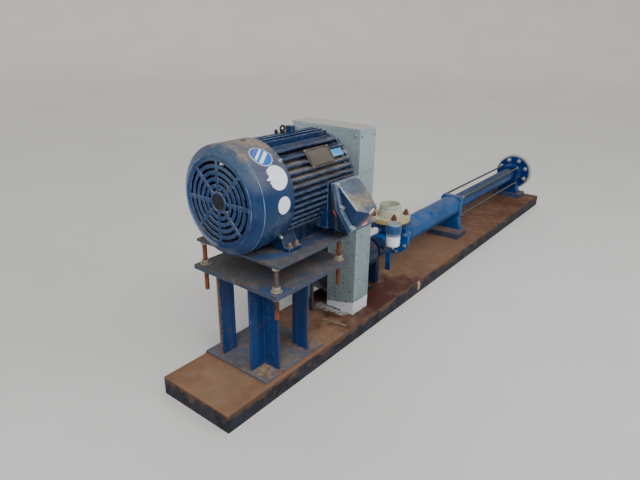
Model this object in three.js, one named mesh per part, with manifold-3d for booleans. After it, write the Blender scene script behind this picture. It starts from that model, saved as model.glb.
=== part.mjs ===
// A belt-driven progressing-cavity (single helical screw) pump on a long low steel skid.
// Millimetres, +X from the motor end to the discharge end, -Y the conduit-box side, +Z up.
// The origin is on the floor, under the middle of the skid.

import * as THREE from 'three';
import { mergeVertices } from 'three/addons/utils/BufferGeometryUtils.js';
import Module from 'manifold-3d';

const wasm = await Module();
wasm.setup();

// Driving dimensions of the skid

const SKID_LENGTH = 3620;
const SKID_WIDTH = 372;
const SKID_HEIGHT = 80;
const DECK_THICKNESS = 6;
const RAIL_FLANGE = 40;
const RAIL_WALL = 6;
const CROSS_MEMBER_PLACES = [ - 1230, 0, 1100 ];
const CROSS_MEMBER_WIDTH = 40;

const SKID_X = SKID_LENGTH / 2;
const SKID_Y = SKID_WIDTH / 2;
const DECK = SKID_HEIGHT;
const RAIL_TOP = SKID_HEIGHT - DECK_THICKNESS;

// Driving dimensions of the motor stand

const BASE_PLATE = { x0: - 1592, x1: - 1230, y0: - 171, y1: 186, thickness: 12 };
const LOWER_PLATE = { x0: - 1600, x1: - 1155, y0: - 242, y1: 208, top: 495, thickness: 19 };
const MOTOR_PLATE = { x0: - 1580, x1: - 1150, y0: - 235, y1: 205, top: 602, thickness: 12 };
const LEG_HEELS_X = [ - 1489, - 1315 ];
const LEG_HEELS_Y = [ - 65, 102 ];
const LEG_FLANGE = 85;
const LEG_WALL = 9;
const ROD_PLACES_X = [ - 1565, - 1185 ];
const ROD_PLACES_Y = [ - 209, 178 ];
const ROD_DIAMETER = 19;
const ROD_CLEARANCE = 0.5;
const ROD_BOTTOM = 380;
const NUT_ACROSS_FLATS = 29;
const NUT_HEIGHT = 15;
const WASHER_DIAMETER = 46;
const WASHER_THICKNESS = 3;

// Driving dimensions of the motor

const MOTOR = { y: - 8, z: MOTOR_PLATE.top + 206 };
const SEAT_GAP = 0.3;
const OVERCUT = 5;
const COWL_SEGMENTS = 64;
const COWL = { mouth: - 1645, shoulder: - 1620, rear: - 1463, radius: 203, mouthRadius: 165, wall: 3 };
const GRILLE = { radii: [ 47, 71, 94, 118, 141 ], halfSlot: 6.5, spokes: 8, halfSpoke: 6 };
const FAN = { from: - 1607, radius: 146, blades: 8, width: 60, inset: 10, thickness: 5, hub: 34 };
const FRAME = { x0: - 1480, x1: - 1085, barrel: 163, endRing: 176, endRingWidth: 22 };
const FIN = { tip: 196, thickness: 7, pitch: 23.5, highest: 163, rows: 13, topRows: 5 };
const LUG = { length: 14, width: 34, root: 140, inset: 4, lift: 2 };
const FRAME_PAD = { x0: - 1262, x1: - 1085, y: - 205, z0: 650, z1: 838 };
const LIFTING_BLOCK = { x0: - 1264, x1: - 1240, y0: - 22, y1: 8, top: 1030 };
const FOOT = {
	front: [ - 1461, - 1385 ], rear: [ - 1172, - 1108 ], outer: 173, webFoot: 149, webHead: 116, rail: 112,
	inner: 92, innermost: 60, thickness: 16, innerWeb: 46, webTop: - 124
};
const BRACKET = {
	x1: - 1018, rim: 184, rimWidth: 18, shoulder: 160, taper: 16, boss: 78, bossEdge: 92, edge: 12
};
const SHAFT_RADIUS = 27.5;
const SHAFT_END = - 826;
const CONDUIT = {
	x0: - 1256, x1: - 1092, seam: [ [ - 213, 834 ], [ - 241, 731 ], [ - 303, 649 ] ], rim: 16, wallInset: 10,
	flange: 21
};

// The corners of the cover's crown over its flange: its foot, then the edge it rises to

const CONDUIT_CROWN = [
	[ - 1240, - 229, 829 ], [ - 1102, - 229, 829 ], [ - 1238, - 255, 743 ], [ - 1102, - 255, 743 ],
	[ - 1236, - 311, 671 ], [ - 1186, - 311, 671 ], [ - 1239, - 235, 831 ], [ - 1102, - 236, 833 ],
	[ - 1102, - 281, 789 ], [ - 1230, - 321, 739 ], [ - 1186, - 349, 725 ], [ - 1126, - 345, 738 ]
];

// Driving dimensions of the belt guard and what it covers

const GUARD = { x0: - 923, x1: - 800, y0: - 119, y1: 263, top: 985, sheet: 3 };
const GUARD_CUTOUT = { y0: 42, y1: 150, top: 430 };
const GUARD_SLOT = { halfWidth: 45, below: 130, above: 70 };
const GUARD_STAY = { x0: - 1020, x1: - 1008, y0: 60, y1: 74, top: 452, bar: 14 };
const SHEAVE_X = [ - 905, - 835 ];
const MOTOR_SHEAVE_RADIUS = 88;
const PUMP_SHEAVE_RADIUS = 122;
const BELT = { thickness: 9, gap: 0.4, inset: 8 };

// Driving dimensions of the pump

const PUMP = { y: 26, z: 277 };
const WELD_LAND = 14;
const PUMP_SHAFT_RADIUS = 25;
const BEARING_HOUSING = {
	x0: - 775, x1: - 600, radius: 78, foot: [ 20, 60, 20 ], web: [ 50, 45, 10 ]
};
const GLAND_RADIUS = 48;
const SUCTION = {
	x0: - 555, x1: - 322, radius: 62, chamber: 52, endWall: 14, foot: 30, footHalf: 40, footHeight: 150,
	leg: { start: 34, end: 22, y0: - 10, y1: 18 }, neckStart: 7, boreStart: 3
};
const INLET = {
	x: - 372, bore: 51, neck: 60, radius: 114.5, thickness: 24, face: 402, hub: 68, pipe: 57.15, rise: 90
};
const JOINT_FLANGE = { radius: 100, thickness: 14 };
const TUBE = { x1: 450, radius: 70.65, wall: 7 };
const LINK = { end: 36, waist: 18, head: 70 };
const SUPPORT = {
	halfPlate: 72, chamfer: 16, halfFoot: 80, footEdge: 14, shoulder: 40, collar: 76, collarLength: 10
};
const MID_SUPPORT = { x0: 450, x1: 494 };
const STATOR = { x1: 1575, radius: 53, lining: 42.3 };
const END_CASTING = {
	x0: 1575, x1: 1722, plate: 22, throat: 66, flare: 40, radius: 84, flange: 131, thickness: 26,
	footInset: 15, footLength: 78
};
const COMPANION = { flange: 144, thickness: 38, hub: 96, pipe: 84.15, bore: 77, length: 90 };
const TIE_ROD = { radius: 7, offset: 62, clearance: 0.5, overhang: 12, depth: 28 };
const ROTOR = { radius: 30, throw: 12, pitch: 230, overhang: 40 };
const PAD = { height: 40, y0: - 88, y1: 140 };
const MID_PAD_X = [ 355, 500 ];
const END_PAD_X = [ 1605, 1740 ];
const LUBRICATOR = {
	x: - 526, y: - 92, fitting: 298, body: 322, cap: 393, top: 445, capRadius: 43, bodyRadius: 37, bevel: 8,
	seat: - 46, bossRadius: 15, elbowRadius: 10
};

// Materials

function paint( colour, roughness = 0.6, metalness = 0.3 ) {

	return new THREE.MeshStandardMaterial( { color: colour, roughness, metalness } );

}

const deckRust = paint( '#73503c', 0.9 );
const railPaint = paint( '#3c4c68', 0.8 );
const standPaint = paint( '#23447a', 0.7 );
const plateGrey = paint( '#6f7480', 0.8 );
const rodRust = paint( '#7a4a34', 0.9 );
const motorNavy = paint( '#1f3a68', 0.5 );
const dustyNavy = paint( '#4a5468', 0.8 );
const darkSteel = paint( '#30333a', 0.5, 0.8 );
const galvanised = paint( '#97a3a8', 0.5, 0.7 );
const beltRubber = paint( '#1c1c1e', 0.9, 0 );
const pumpBlue = paint( '#1f5ca0', 0.5 );
const brightSteel = paint( '#b9bec4', 0.3, 0.9 );
const paleCream = paint( '#b9b9a4', 0.7 );
const whitePlastic = paint( '#d8dade', 0.4, 0 );

// Basic solids

function closed( geometry ) {

	// Merges shared vertices, drops collapsed triangles and turns the faces outward.

	geometry.deleteAttribute( 'normal' );
	geometry.deleteAttribute( 'uv' );
	const merged = mergeVertices( geometry, 1e-4 );
	const source = merged.index.array;
	const position = merged.attributes.position;
	const kept = [];
	const a = new THREE.Vector3();
	const b = new THREE.Vector3();
	const c = new THREE.Vector3();
	let volume = 0;

	for ( let i = 0; i < source.length; i += 3 ) {

		const [ p, q, r ] = [ source[ i ], source[ i + 1 ], source[ i + 2 ] ];
		if ( p === q || q === r || r === p ) continue;
		kept.push( p, q, r );
		a.fromBufferAttribute( position, p );
		b.fromBufferAttribute( position, q );
		c.fromBufferAttribute( position, r );
		volume += a.dot( b.cross( c ) );

	}

	if ( volume < 0 ) kept.reverse();
	merged.setIndex( kept );
	return merged;

}

function box( x0, x1, y0, y1, z0, z1 ) {

	const shape = new THREE.BoxGeometry( x1 - x0, y1 - y0, z1 - z0 );
	shape.translate( ( x0 + x1 ) / 2, ( y0 + y1 ) / 2, ( z0 + z1 ) / 2 );
	return closed( shape );

}

function outline( points ) {

	return new THREE.Shape( points.map( ( [ u, v ] ) => new THREE.Vector2( u, v ) ) );

}

function extruded( shape, depth, curveSegments = 12 ) {

	return new THREE.ExtrudeGeometry( shape, { depth, bevelEnabled: false, curveSegments } );

}

const AXES = {
	x: new THREE.Vector3( 1, 0, 0 ),
	y: new THREE.Vector3( 0, 1, 0 ),
	z: new THREE.Vector3( 0, 0, 1 )
};

function turned( geometry, u, v, w, place ) {

	const matrix = new THREE.Matrix4().makeBasis( u, v, w ).setPosition( ...place );
	return closed( geometry.applyMatrix4( matrix ) );

}

function prismX( points, x0, x1 ) {

	// An outline of (y, z) points, drawn out along X.

	return turned( extruded( outline( points ), x1 - x0 ), AXES.y, AXES.z, AXES.x, [ x0, 0, 0 ] );

}

function prismZ( points, z0, z1 ) {

	// An outline of (x, y) points, drawn out along Z.

	return turned( extruded( outline( points ), z1 - z0 ), AXES.x, AXES.y, AXES.z, [ 0, 0, z0 ] );

}

function roundX( profile, y, z, segments = 48 ) {

	// A profile of (x, radius) points, turned about an axis along X.

	const points = profile.map( ( [ x, r ] ) => new THREE.Vector2( r, x ) );
	const shape = new THREE.LatheGeometry( points, segments );
	return turned( shape, AXES.y, AXES.x, AXES.z.clone().negate(), [ 0, y, z ] );

}

function roundZ( profile, x, y, segments = 32 ) {

	// A profile of (z, radius) points, turned about an axis along Z.

	const points = profile.map( ( [ z, r ] ) => new THREE.Vector2( r, z ) );
	const shape = new THREE.LatheGeometry( points, segments );
	return turned( shape, AXES.x, AXES.z, AXES.y.clone().negate(), [ x, y, 0 ] );

}

function rodX( x0, x1, radius, y, z, segments = 32 ) {

	return roundX( [ [ x0, 0 ], [ x0, radius ], [ x1, radius ], [ x1, 0 ] ], y, z, segments );

}

function rodZ( z0, z1, radius, x, y, segments = 24 ) {

	return roundZ( [ [ z0, 0 ], [ z0, radius ], [ z1, radius ], [ z1, 0 ] ], x, y, segments );

}

function ringX( x0, x1, inner, outer, y, z, segments = 48 ) {

	const section = [ [ x0, inner ], [ x0, outer ], [ x1, outer ], [ x1, inner ], [ x0, inner ] ];
	return roundX( section, y, z, segments );

}

// Joins and cuts

function solidOf( geometry ) {

	const vertProperties = new Float32Array( geometry.attributes.position.array );
	const triVerts = new Uint32Array( geometry.index.array );
	return new wasm.Manifold( new wasm.Mesh( { numProp: 3, vertProperties, triVerts } ) );

}

function geometryOf( solid ) {

	const mesh = solid.getMesh();
	const geometry = new THREE.BufferGeometry();
	geometry.setAttribute( 'position', new THREE.BufferAttribute( mesh.vertProperties, 3 ) );
	geometry.setIndex( new THREE.BufferAttribute( mesh.triVerts, 1 ) );
	return geometry;

}

function join( ...pieces ) {

	return geometryOf( pieces.map( solidOf ).reduce( ( all, next ) => all.add( next ) ) );

}

function cut( base, ...tools ) {

	const removed = tools.map( solidOf );
	return geometryOf( removed.reduce( ( rest, tool ) => rest.subtract( tool ), solidOf( base ) ) );

}

// The assembly

const pump = new THREE.Group();

function add( name, geometry, material ) {

	const mesh = new THREE.Mesh( geometry, material );
	mesh.name = name;
	pump.add( mesh );

}

// Skid

function addSkid() {

	const end = SKID_X - RAIL_WALL;
	const lipBottom = RAIL_TOP - RAIL_WALL;

	for ( const [ name, side ] of [ [ 'skid_rail_near', - 1 ], [ 'skid_rail_far', 1 ] ] ) {

		const outer = side * SKID_Y;
		const inner = side * ( SKID_Y - RAIL_FLANGE );
		const web = side * ( SKID_Y - RAIL_WALL );
		const section = [
			[ outer, 0 ], [ inner, 0 ], [ inner, RAIL_WALL ], [ web, RAIL_WALL ],
			[ web, lipBottom ], [ inner, lipBottom ], [ inner, RAIL_TOP ], [ outer, RAIL_TOP ]
		];
		add( name, prismX( section, - end, end ), railPaint );

	}

	add( 'skid_end_plate_front', box( - SKID_X, - end, - SKID_Y, SKID_Y, 0, RAIL_TOP ), railPaint );
	add( 'skid_end_plate_rear', box( end, SKID_X, - SKID_Y, SKID_Y, 0, RAIL_TOP ), railPaint );

	const reach = SKID_Y - RAIL_FLANGE;
	CROSS_MEMBER_PLACES.forEach( ( x, index ) => {

		const half = CROSS_MEMBER_WIDTH / 2;
		const member = box( x - half, x + half, - reach, reach, 0, RAIL_TOP );
		add( `skid_cross_member_${ index + 1 }`, member, railPaint );

	} );

	add( 'deck_plate', box( - SKID_X, SKID_X, - SKID_Y, SKID_Y, RAIL_TOP, DECK ), deckRust );

}

// Motor stand

function hexagon( acrossFlats, x, y ) {

	const radius = acrossFlats / Math.sqrt( 3 );
	const corners = [];

	for ( let i = 0; i < 6; i ++ ) {

		const angle = i * Math.PI / 3;
		corners.push( [ x + radius * Math.cos( angle ), y + radius * Math.sin( angle ) ] );

	}

	return corners;

}

function jackRod( x, y ) {

	const lowerTop = LOWER_PLATE.top;
	const lowerBottom = LOWER_PLATE.top - LOWER_PLATE.thickness;
	const rodTop = MOTOR_PLATE.top - MOTOR_PLATE.thickness;
	const nut = hexagon( NUT_ACROSS_FLATS, x, y );
	const washer = WASHER_THICKNESS;
	return join(
		rodZ( ROD_BOTTOM, rodTop, ROD_DIAMETER / 2, x, y, 16 ),
		rodZ( lowerTop, lowerTop + washer, WASHER_DIAMETER / 2, x, y, 20 ),
		prismZ( nut, lowerTop + washer, lowerTop + washer + NUT_HEIGHT ),
		rodZ( lowerBottom - washer, lowerBottom, WASHER_DIAMETER / 2, x, y, 20 ),
		prismZ( nut, lowerBottom - washer - NUT_HEIGHT, lowerBottom - washer ),
		prismZ( nut, rodTop - NUT_HEIGHT, rodTop )
	);

}

function addStand() {

	const base = BASE_PLATE;
	const baseTop = DECK + base.thickness;
	const lowerBottom = LOWER_PLATE.top - LOWER_PLATE.thickness;
	add( 'stand_base_plate', box( base.x0, base.x1, base.y0, base.y1, DECK, baseTop ), plateGrey );

	let number = 0;

	for ( const [ i, x ] of LEG_HEELS_X.entries() ) {

		for ( const [ j, y ] of LEG_HEELS_Y.entries() ) {

			const dx = i === 0 ? - 1 : 1;
			const dy = j === 0 ? - 1 : 1;
			const section = [
				[ x, y ], [ x + dx * LEG_FLANGE, y ], [ x + dx * LEG_FLANGE, y + dy * LEG_WALL ],
				[ x + dx * LEG_WALL, y + dy * LEG_WALL ], [ x + dx * LEG_WALL, y + dy * LEG_FLANGE ],
				[ x, y + dy * LEG_FLANGE ]
			];
			number += 1;
			add( `stand_leg_${ number }`, prismZ( section, baseTop, lowerBottom ), standPaint );

		}

	}

	const holes = [];
	const rods = [];

	for ( const x of ROD_PLACES_X ) {

		for ( const y of ROD_PLACES_Y ) {

			const radius = ROD_DIAMETER / 2 + ROD_CLEARANCE;
			holes.push( rodZ( lowerBottom - OVERCUT, LOWER_PLATE.top + OVERCUT, radius, x, y, 16 ) );
			rods.push( jackRod( x, y ) );

		}

	}

	const lower = LOWER_PLATE;
	const slab = box( lower.x0, lower.x1, lower.y0, lower.y1, lowerBottom, lower.top );
	add( 'stand_top_plate', cut( slab, ...holes ), plateGrey );
	rods.forEach( ( rod, index ) => add( `jack_rod_${ index + 1 }`, rod, rodRust ) );

	const upper = MOTOR_PLATE;
	const motorPlate = box( upper.x0, upper.x1, upper.y0, upper.y1, upper.top - upper.thickness, upper.top );
	add( 'motor_plate', motorPlate, plateGrey );

}

// Motor

function motorFins() {

	// Level fins down both flanks and standing fins on top.

	const fins = [];
	const half = FIN.thickness / 2;

	for ( let i = 0; i < FIN.rows; i ++ ) {

		const offset = FIN.highest - i * FIN.pitch;
		const reach = Math.sqrt( FIN.tip ** 2 - offset ** 2 );
		const z = MOTOR.z + offset;
		fins.push( box( COWL.rear, FRAME.x1, MOTOR.y - reach, MOTOR.y + reach, z - half, z + half ) );

	}

	for ( let i = 0; i < FIN.topRows; i ++ ) {

		const offset = ( i - ( FIN.topRows - 1 ) / 2 ) * FIN.pitch;
		const reach = Math.sqrt( FIN.tip ** 2 - offset ** 2 );
		const y = MOTOR.y + offset;
		fins.push( box( COWL.rear, FRAME.x1, y - half, y + half, MOTOR.z, MOTOR.z + reach ) );

	}

	return fins;

}

function cowlLugs() {

	// Lugs on the frame's end that the cowl is screwed to.

	const lugs = [];
	const seat = COWL.radius - COWL.wall - SEAT_GAP;
	const reach = rodX( FRAME.x0, COWL.rear, seat, MOTOR.y, MOTOR.z, COWL_SEGMENTS );

	for ( let i = 0; i < 4; i ++ ) {

		const lug = new THREE.BoxGeometry( LUG.length, LUG.width, seat - LUG.root );
		lug.translate( COWL.rear - LUG.length / 2 - LUG.inset, 0, ( seat + LUG.root ) / 2 + LUG.lift );
		lug.applyMatrix4( new THREE.Matrix4().makeRotationX( ( 2 * i + 1 ) * Math.PI / 4 ) );
		lug.translate( 0, MOTOR.y, MOTOR.z );
		lugs.push( geometryOf( solidOf( closed( lug ) ).intersect( solidOf( reach ) ) ) );

	}

	return lugs;

}

function addMotorFrame() {

	const barrel = rodX( FRAME.x0, FRAME.x1, FRAME.barrel, MOTOR.y, MOTOR.z );
	const endRing = rodX( FRAME.x1 - FRAME.endRingWidth, FRAME.x1, FRAME.endRing, MOTOR.y, MOTOR.z );
	const p = FRAME_PAD;
	const pad = box( p.x0, p.x1, p.y, MOTOR.y - LUG.root, p.z0, p.z1 );
	const b = LIFTING_BLOCK;
	const block = box( b.x0, b.x1, b.y0, b.y1, MOTOR.z + FRAME.barrel - OVERCUT, b.top );
	add( 'motor_frame', join( barrel, endRing, pad, block, ...cowlLugs(), ...motorFins() ), motorNavy );

	const barrelSeat = rodX( FRAME.x0, FRAME.x1, FRAME.barrel + SEAT_GAP, MOTOR.y, MOTOR.z );

	for ( const [ name, side ] of [ [ 'motor_foot_near', - 1 ], [ 'motor_foot_far', 1 ] ] ) {

		const bottom = MOTOR_PLATE.top;
		const padTop = bottom + FOOT.thickness;
		const webTop = MOTOR.z + FOOT.webTop;
		const at = ( dy, z ) => [ MOTOR.y + side * dy, z ];
		const pads = [
			at( FOOT.outer, bottom ), at( FOOT.outer, padTop ), at( FOOT.webFoot, padTop ),
			at( FOOT.webHead, webTop ), at( FOOT.innermost, webTop ),
			at( FOOT.innermost, bottom + FOOT.innerWeb ),
			at( FOOT.inner, padTop ), at( FOOT.inner, bottom )
		];
		const rail = [
			at( FOOT.rail, bottom ), at( FOOT.rail, webTop ),
			at( FOOT.inner, webTop ), at( FOOT.inner, bottom )
		];
		const foot = join(
			prismX( pads, ...FOOT.front ), prismX( pads, ...FOOT.rear ),
			prismX( rail, FOOT.front[ 0 ], FOOT.rear[ 1 ] )
		);
		add( name, cut( foot, barrelSeat ), motorNavy );

	}

}

function addMotor() {

	addMotorFrame();

	const rimEnd = FRAME.x1 + BRACKET.rimWidth;
	const cap = [
		[ FRAME.x1, 0 ], [ FRAME.x1, BRACKET.rim ], [ rimEnd, BRACKET.rim ],
		[ rimEnd + BRACKET.taper, BRACKET.shoulder ], [ BRACKET.x1 - BRACKET.edge, BRACKET.bossEdge ],
		[ BRACKET.x1, BRACKET.boss ], [ BRACKET.x1, 0 ]
	];
	const shaftHole = rodX( FRAME.x1 - 1, BRACKET.x1 + 1, SHAFT_RADIUS + ROD_CLEARANCE, MOTOR.y, MOTOR.z );
	add( 'motor_drive_end_bracket', cut( roundX( cap, MOTOR.y, MOTOR.z ), shaftHole ), motorNavy );
	add( 'motor_shaft', rodX( FRAME.x1, SHAFT_END, SHAFT_RADIUS, MOTOR.y, MOTOR.z ), brightSteel );

	const w = COWL.wall;
	const shell = [
		[ COWL.mouth, 0 ], [ COWL.mouth, COWL.mouthRadius ], [ COWL.shoulder, COWL.radius ],
		[ COWL.rear, COWL.radius ], [ COWL.rear, COWL.radius - w ], [ COWL.shoulder + w, COWL.radius - w ],
		[ COWL.mouth + w, COWL.mouthRadius - w ], [ COWL.mouth + w, 0 ]
	];
	add( 'fan_cowl', cut( roundX( shell, MOTOR.y, MOTOR.z, COWL_SEGMENTS ), ...grilleSlots() ), motorNavy );

	const hub = rodX( FAN.from, FRAME.x0, FAN.hub, MOTOR.y, MOTOR.z, 24 );
	const blades = [];

	for ( let i = 0; i < FAN.blades; i ++ ) {

		const blade = new THREE.BoxGeometry( FAN.width, FAN.radius - FAN.hub / 2, FAN.thickness );
		blade.translate( FAN.from + FAN.width / 2 + FAN.inset, ( FAN.radius + FAN.hub / 2 ) / 2, 0 );
		blade.applyMatrix4( new THREE.Matrix4().makeRotationX( i * 2 * Math.PI / FAN.blades ) );
		blade.translate( 0, MOTOR.y, MOTOR.z );
		blades.push( closed( blade ) );

	}

	add( 'fan', join( hub, ...blades ), darkSteel );
	addConduitBox();

}

function grilleSlots() {

	// Concentric slots in the cowl's face, parted by the spokes.

	const slots = [];
	const place = [ COWL.mouth - COWL.wall, MOTOR.y, MOTOR.z ];

	for ( const radius of GRILLE.radii ) {

		const inner = radius - GRILLE.halfSlot;
		const outer = radius + GRILLE.halfSlot;
		const trim = GRILLE.halfSpoke / radius;

		for ( let i = 0; i < GRILLE.spokes; i ++ ) {

			const from = i * 2 * Math.PI / GRILLE.spokes + trim;
			const to = ( i + 1 ) * 2 * Math.PI / GRILLE.spokes - trim;
			const shape = new THREE.Shape();
			shape.absarc( 0, 0, outer, from, to, false );
			shape.absarc( 0, 0, inner, to, from, true );
			const slot = extruded( shape, COWL.wall * 4, 6 );
			slots.push( turned( slot, AXES.y, AXES.z, AXES.x, place ) );

		}

	}

	return slots;

}

function addConduitBox() {

	// A cast box whose seam bends outward half way down, with a rim round it and a cover that juts out.

	const { x0, x1, seam, rim, wallInset, flange } = CONDUIT;
	const top = seam[ 0 ];
	const bottom = seam[ seam.length - 1 ];
	const band = ( from, to ) => [ ...offsetLine( seam, from ), ...offsetLine( seam, to ).reverse() ];
	const wall = [
		[ MOTOR.y, top[ 1 ] - wallInset ], ...offsetLine( seam, - rim / 2 ), [ MOTOR.y, bottom[ 1 ] + wallInset ]
	];
	const base = join( prismX( band( 0, - rim ), x0, x1 ), prismX( wall, x0 + wallInset, x1 - wallInset ) );
	const behindPad = box( x0 - OVERCUT, x1 + OVERCUT, FRAME_PAD.y, MOTOR.y + OVERCUT, 0, MOTOR.z * 2 );
	add( 'conduit_box_base', cut( base, behindPad ), motorNavy );

	const crown = geometryOf( wasm.Manifold.hull( CONDUIT_CROWN ) );
	add( 'conduit_box_cover', join( prismX( band( SEAT_GAP, flange ), x0, x1 ), crown ), dustyNavy );

}

function offsetLine( points, distance ) {

	// An open line of (y, z) points moved sideways, to its right as it runs, with mitred corners.

	const sides = points.slice( 1 ).map( ( [ y, z ], i ) => {

		const run = [ y - points[ i ][ 0 ], z - points[ i ][ 1 ] ];
		const length = Math.hypot( ...run );
		return [ run[ 1 ] / length, - run[ 0 ] / length ];

	} );

	return points.map( ( [ y, z ], i ) => {

		const a = sides[ Math.max( i - 1, 0 ) ];
		const b = sides[ Math.min( i, sides.length - 1 ) ];
		const reach = distance / ( 1 + a[ 0 ] * b[ 0 ] + a[ 1 ] * b[ 1 ] );
		return [ y + ( a[ 0 ] + b[ 0 ] ) * reach, z + ( a[ 1 ] + b[ 1 ] ) * reach ];

	} );

}

// Belt guard and drive

function addDrive() {

	const g = GUARD;
	const s = g.sheet;
	const c = GUARD_CUTOUT;
	const outer = box( g.x0, g.x1, g.y0, g.y1, DECK, g.top );
	const hollow = box( g.x0 + s, g.x1 - s, g.y0 + s, g.y1 - s, DECK - OVERCUT, g.top - s );
	const cutout = box( g.x0 - OVERCUT, g.x0 + s + OVERCUT, c.y0, c.y1, DECK - OVERCUT, c.top );
	const motorSlot = box(
		g.x0 - OVERCUT, g.x0 + s + OVERCUT, MOTOR.y - GUARD_SLOT.halfWidth, MOTOR.y + GUARD_SLOT.halfWidth,
		MOTOR.z - GUARD_SLOT.below, MOTOR.z + GUARD_SLOT.above
	);
	const pumpHole = rodX( g.x1 - s - OVERCUT, g.x1 + OVERCUT, GUARD_SLOT.halfWidth, PUMP.y, PUMP.z );
	add( 'belt_guard', cut( outer, hollow, cutout, motorSlot, pumpHole ), galvanised );

	const stay = GUARD_STAY;
	const post = box( stay.x0, stay.x1, stay.y0, stay.y1, DECK, stay.top );
	const arm = box( stay.x0, g.x0, stay.y0, stay.y1, stay.top - stay.bar, stay.top );
	add( 'guard_stay', join( post, arm ), plateGrey );

	const [ x0, x1 ] = SHEAVE_X;
	const motorBore = SHAFT_RADIUS + SEAT_GAP;
	const pumpBore = PUMP_SHAFT_RADIUS + SEAT_GAP;
	add( 'motor_sheave', ringX( x0, x1, motorBore, MOTOR_SHEAVE_RADIUS, MOTOR.y, MOTOR.z ), darkSteel );
	add( 'pump_sheave', ringX( x0, x1, pumpBore, PUMP_SHEAVE_RADIUS, PUMP.y, PUMP.z ), darkSteel );
	add( 'drive_belts', belts( x0, x1 ), beltRubber );

}

function belts( x0, x1 ) {

	// One closed band of belts round both sheaves, with a small running gap.

	const top = { y: MOTOR.y, z: MOTOR.z, r: MOTOR_SHEAVE_RADIUS + BELT.gap };
	const low = { y: PUMP.y, z: PUMP.z, r: PUMP_SHEAVE_RADIUS + BELT.gap };

	function loop( extra, Kind ) {

		const distance = Math.hypot( top.y - low.y, top.z - low.z );
		const heading = Math.atan2( top.z - low.z, top.y - low.y );
		const spread = Math.acos( ( low.r - top.r ) / distance );
		const path = new Kind();
		path.absarc( top.y, top.z, top.r + extra, heading - spread, heading + spread, false );
		path.absarc( low.y, low.z, low.r + extra, heading + spread, heading - spread + 2 * Math.PI, false );
		return path;

	}

	const band = loop( BELT.thickness, THREE.Shape );
	band.holes.push( loop( 0, THREE.Path ) );
	const width = x1 - x0 - 2 * BELT.inset;
	return turned( extruded( band, width, 16 ), AXES.y, AXES.z, AXES.x, [ x0 + BELT.inset, 0, 0 ] );

}

// Pump

function addPump() {

	const { y, z } = PUMP;
	const shaftStart = SHEAVE_X[ 0 ];
	const shaftEnd = SUCTION.x0 + 40;
	add( 'pump_shaft', rodX( shaftStart, shaftEnd, PUMP_SHAFT_RADIUS, y, z, 24 ), brightSteel );

	const rodStart = shaftEnd + SEAT_GAP;
	const rodEnd = MID_SUPPORT.x0 - ROTOR.overhang - SEAT_GAP;
	const waistStart = rodStart + LINK.head;
	const waistEnd = rodEnd - LINK.head;
	const link = [
		[ rodStart, 0 ], [ rodStart, LINK.end ], [ waistStart, LINK.end ], [ waistStart, LINK.waist ],
		[ waistEnd, LINK.waist ], [ waistEnd, LINK.end ], [ rodEnd, LINK.end ], [ rodEnd, 0 ]
	];
	add( 'connecting_rod', roundX( link, y, z, 20 ), darkSteel );

	addBearingHousing();
	addSuction();

	const tubeStart = SUCTION.x1 + JOINT_FLANGE.thickness;
	const flangeEnd = tubeStart + JOINT_FLANGE.thickness;
	const inner = TUBE.radius - TUBE.wall;
	const collarStart = TUBE.x1 - SUPPORT.collarLength;
	const tube = [
		[ tubeStart, inner ], [ tubeStart, JOINT_FLANGE.radius ], [ flangeEnd, JOINT_FLANGE.radius ],
		[ flangeEnd, TUBE.radius ], [ collarStart, TUBE.radius ], [ collarStart, SUPPORT.collar ],
		[ TUBE.x1, SUPPORT.collar ], [ TUBE.x1, inner ], [ tubeStart, inner ]
	];
	add( 'casing_tube', roundX( tube, y, z ), pumpBlue );

	addStator();
	addEnd();
	add( 'rotor', rotor(), brightSteel );
	addLubricator();

}

function addBearingHousing() {

	const { y, z } = PUMP;
	const { x0, x1, radius, foot, web } = BEARING_HOUSING;
	const [ footInset, footHalf, footHeight ] = foot;
	const [ webInset, webHalf, webStart ] = web;
	const housing = cut(
		join(
			rodX( x0, x1, radius, y, z ),
			box( x0 + footInset, x1 - footInset, y - footHalf, y + footHalf, DECK, DECK + footHeight ),
			box( x0 + webInset, x1 - webInset, y - webHalf, y + webHalf, DECK + webStart, z )
		),
		rodX( x0 - OVERCUT, x1 + OVERCUT, PUMP_SHAFT_RADIUS + ROD_CLEARANCE, y, z, 24 )
	);
	add( 'bearing_housing', housing, pumpBlue );
	add( 'gland', ringX( x1, SUCTION.x0, PUMP_SHAFT_RADIUS + SEAT_GAP, GLAND_RADIUS, y, z, 32 ), darkSteel );

}

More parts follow.
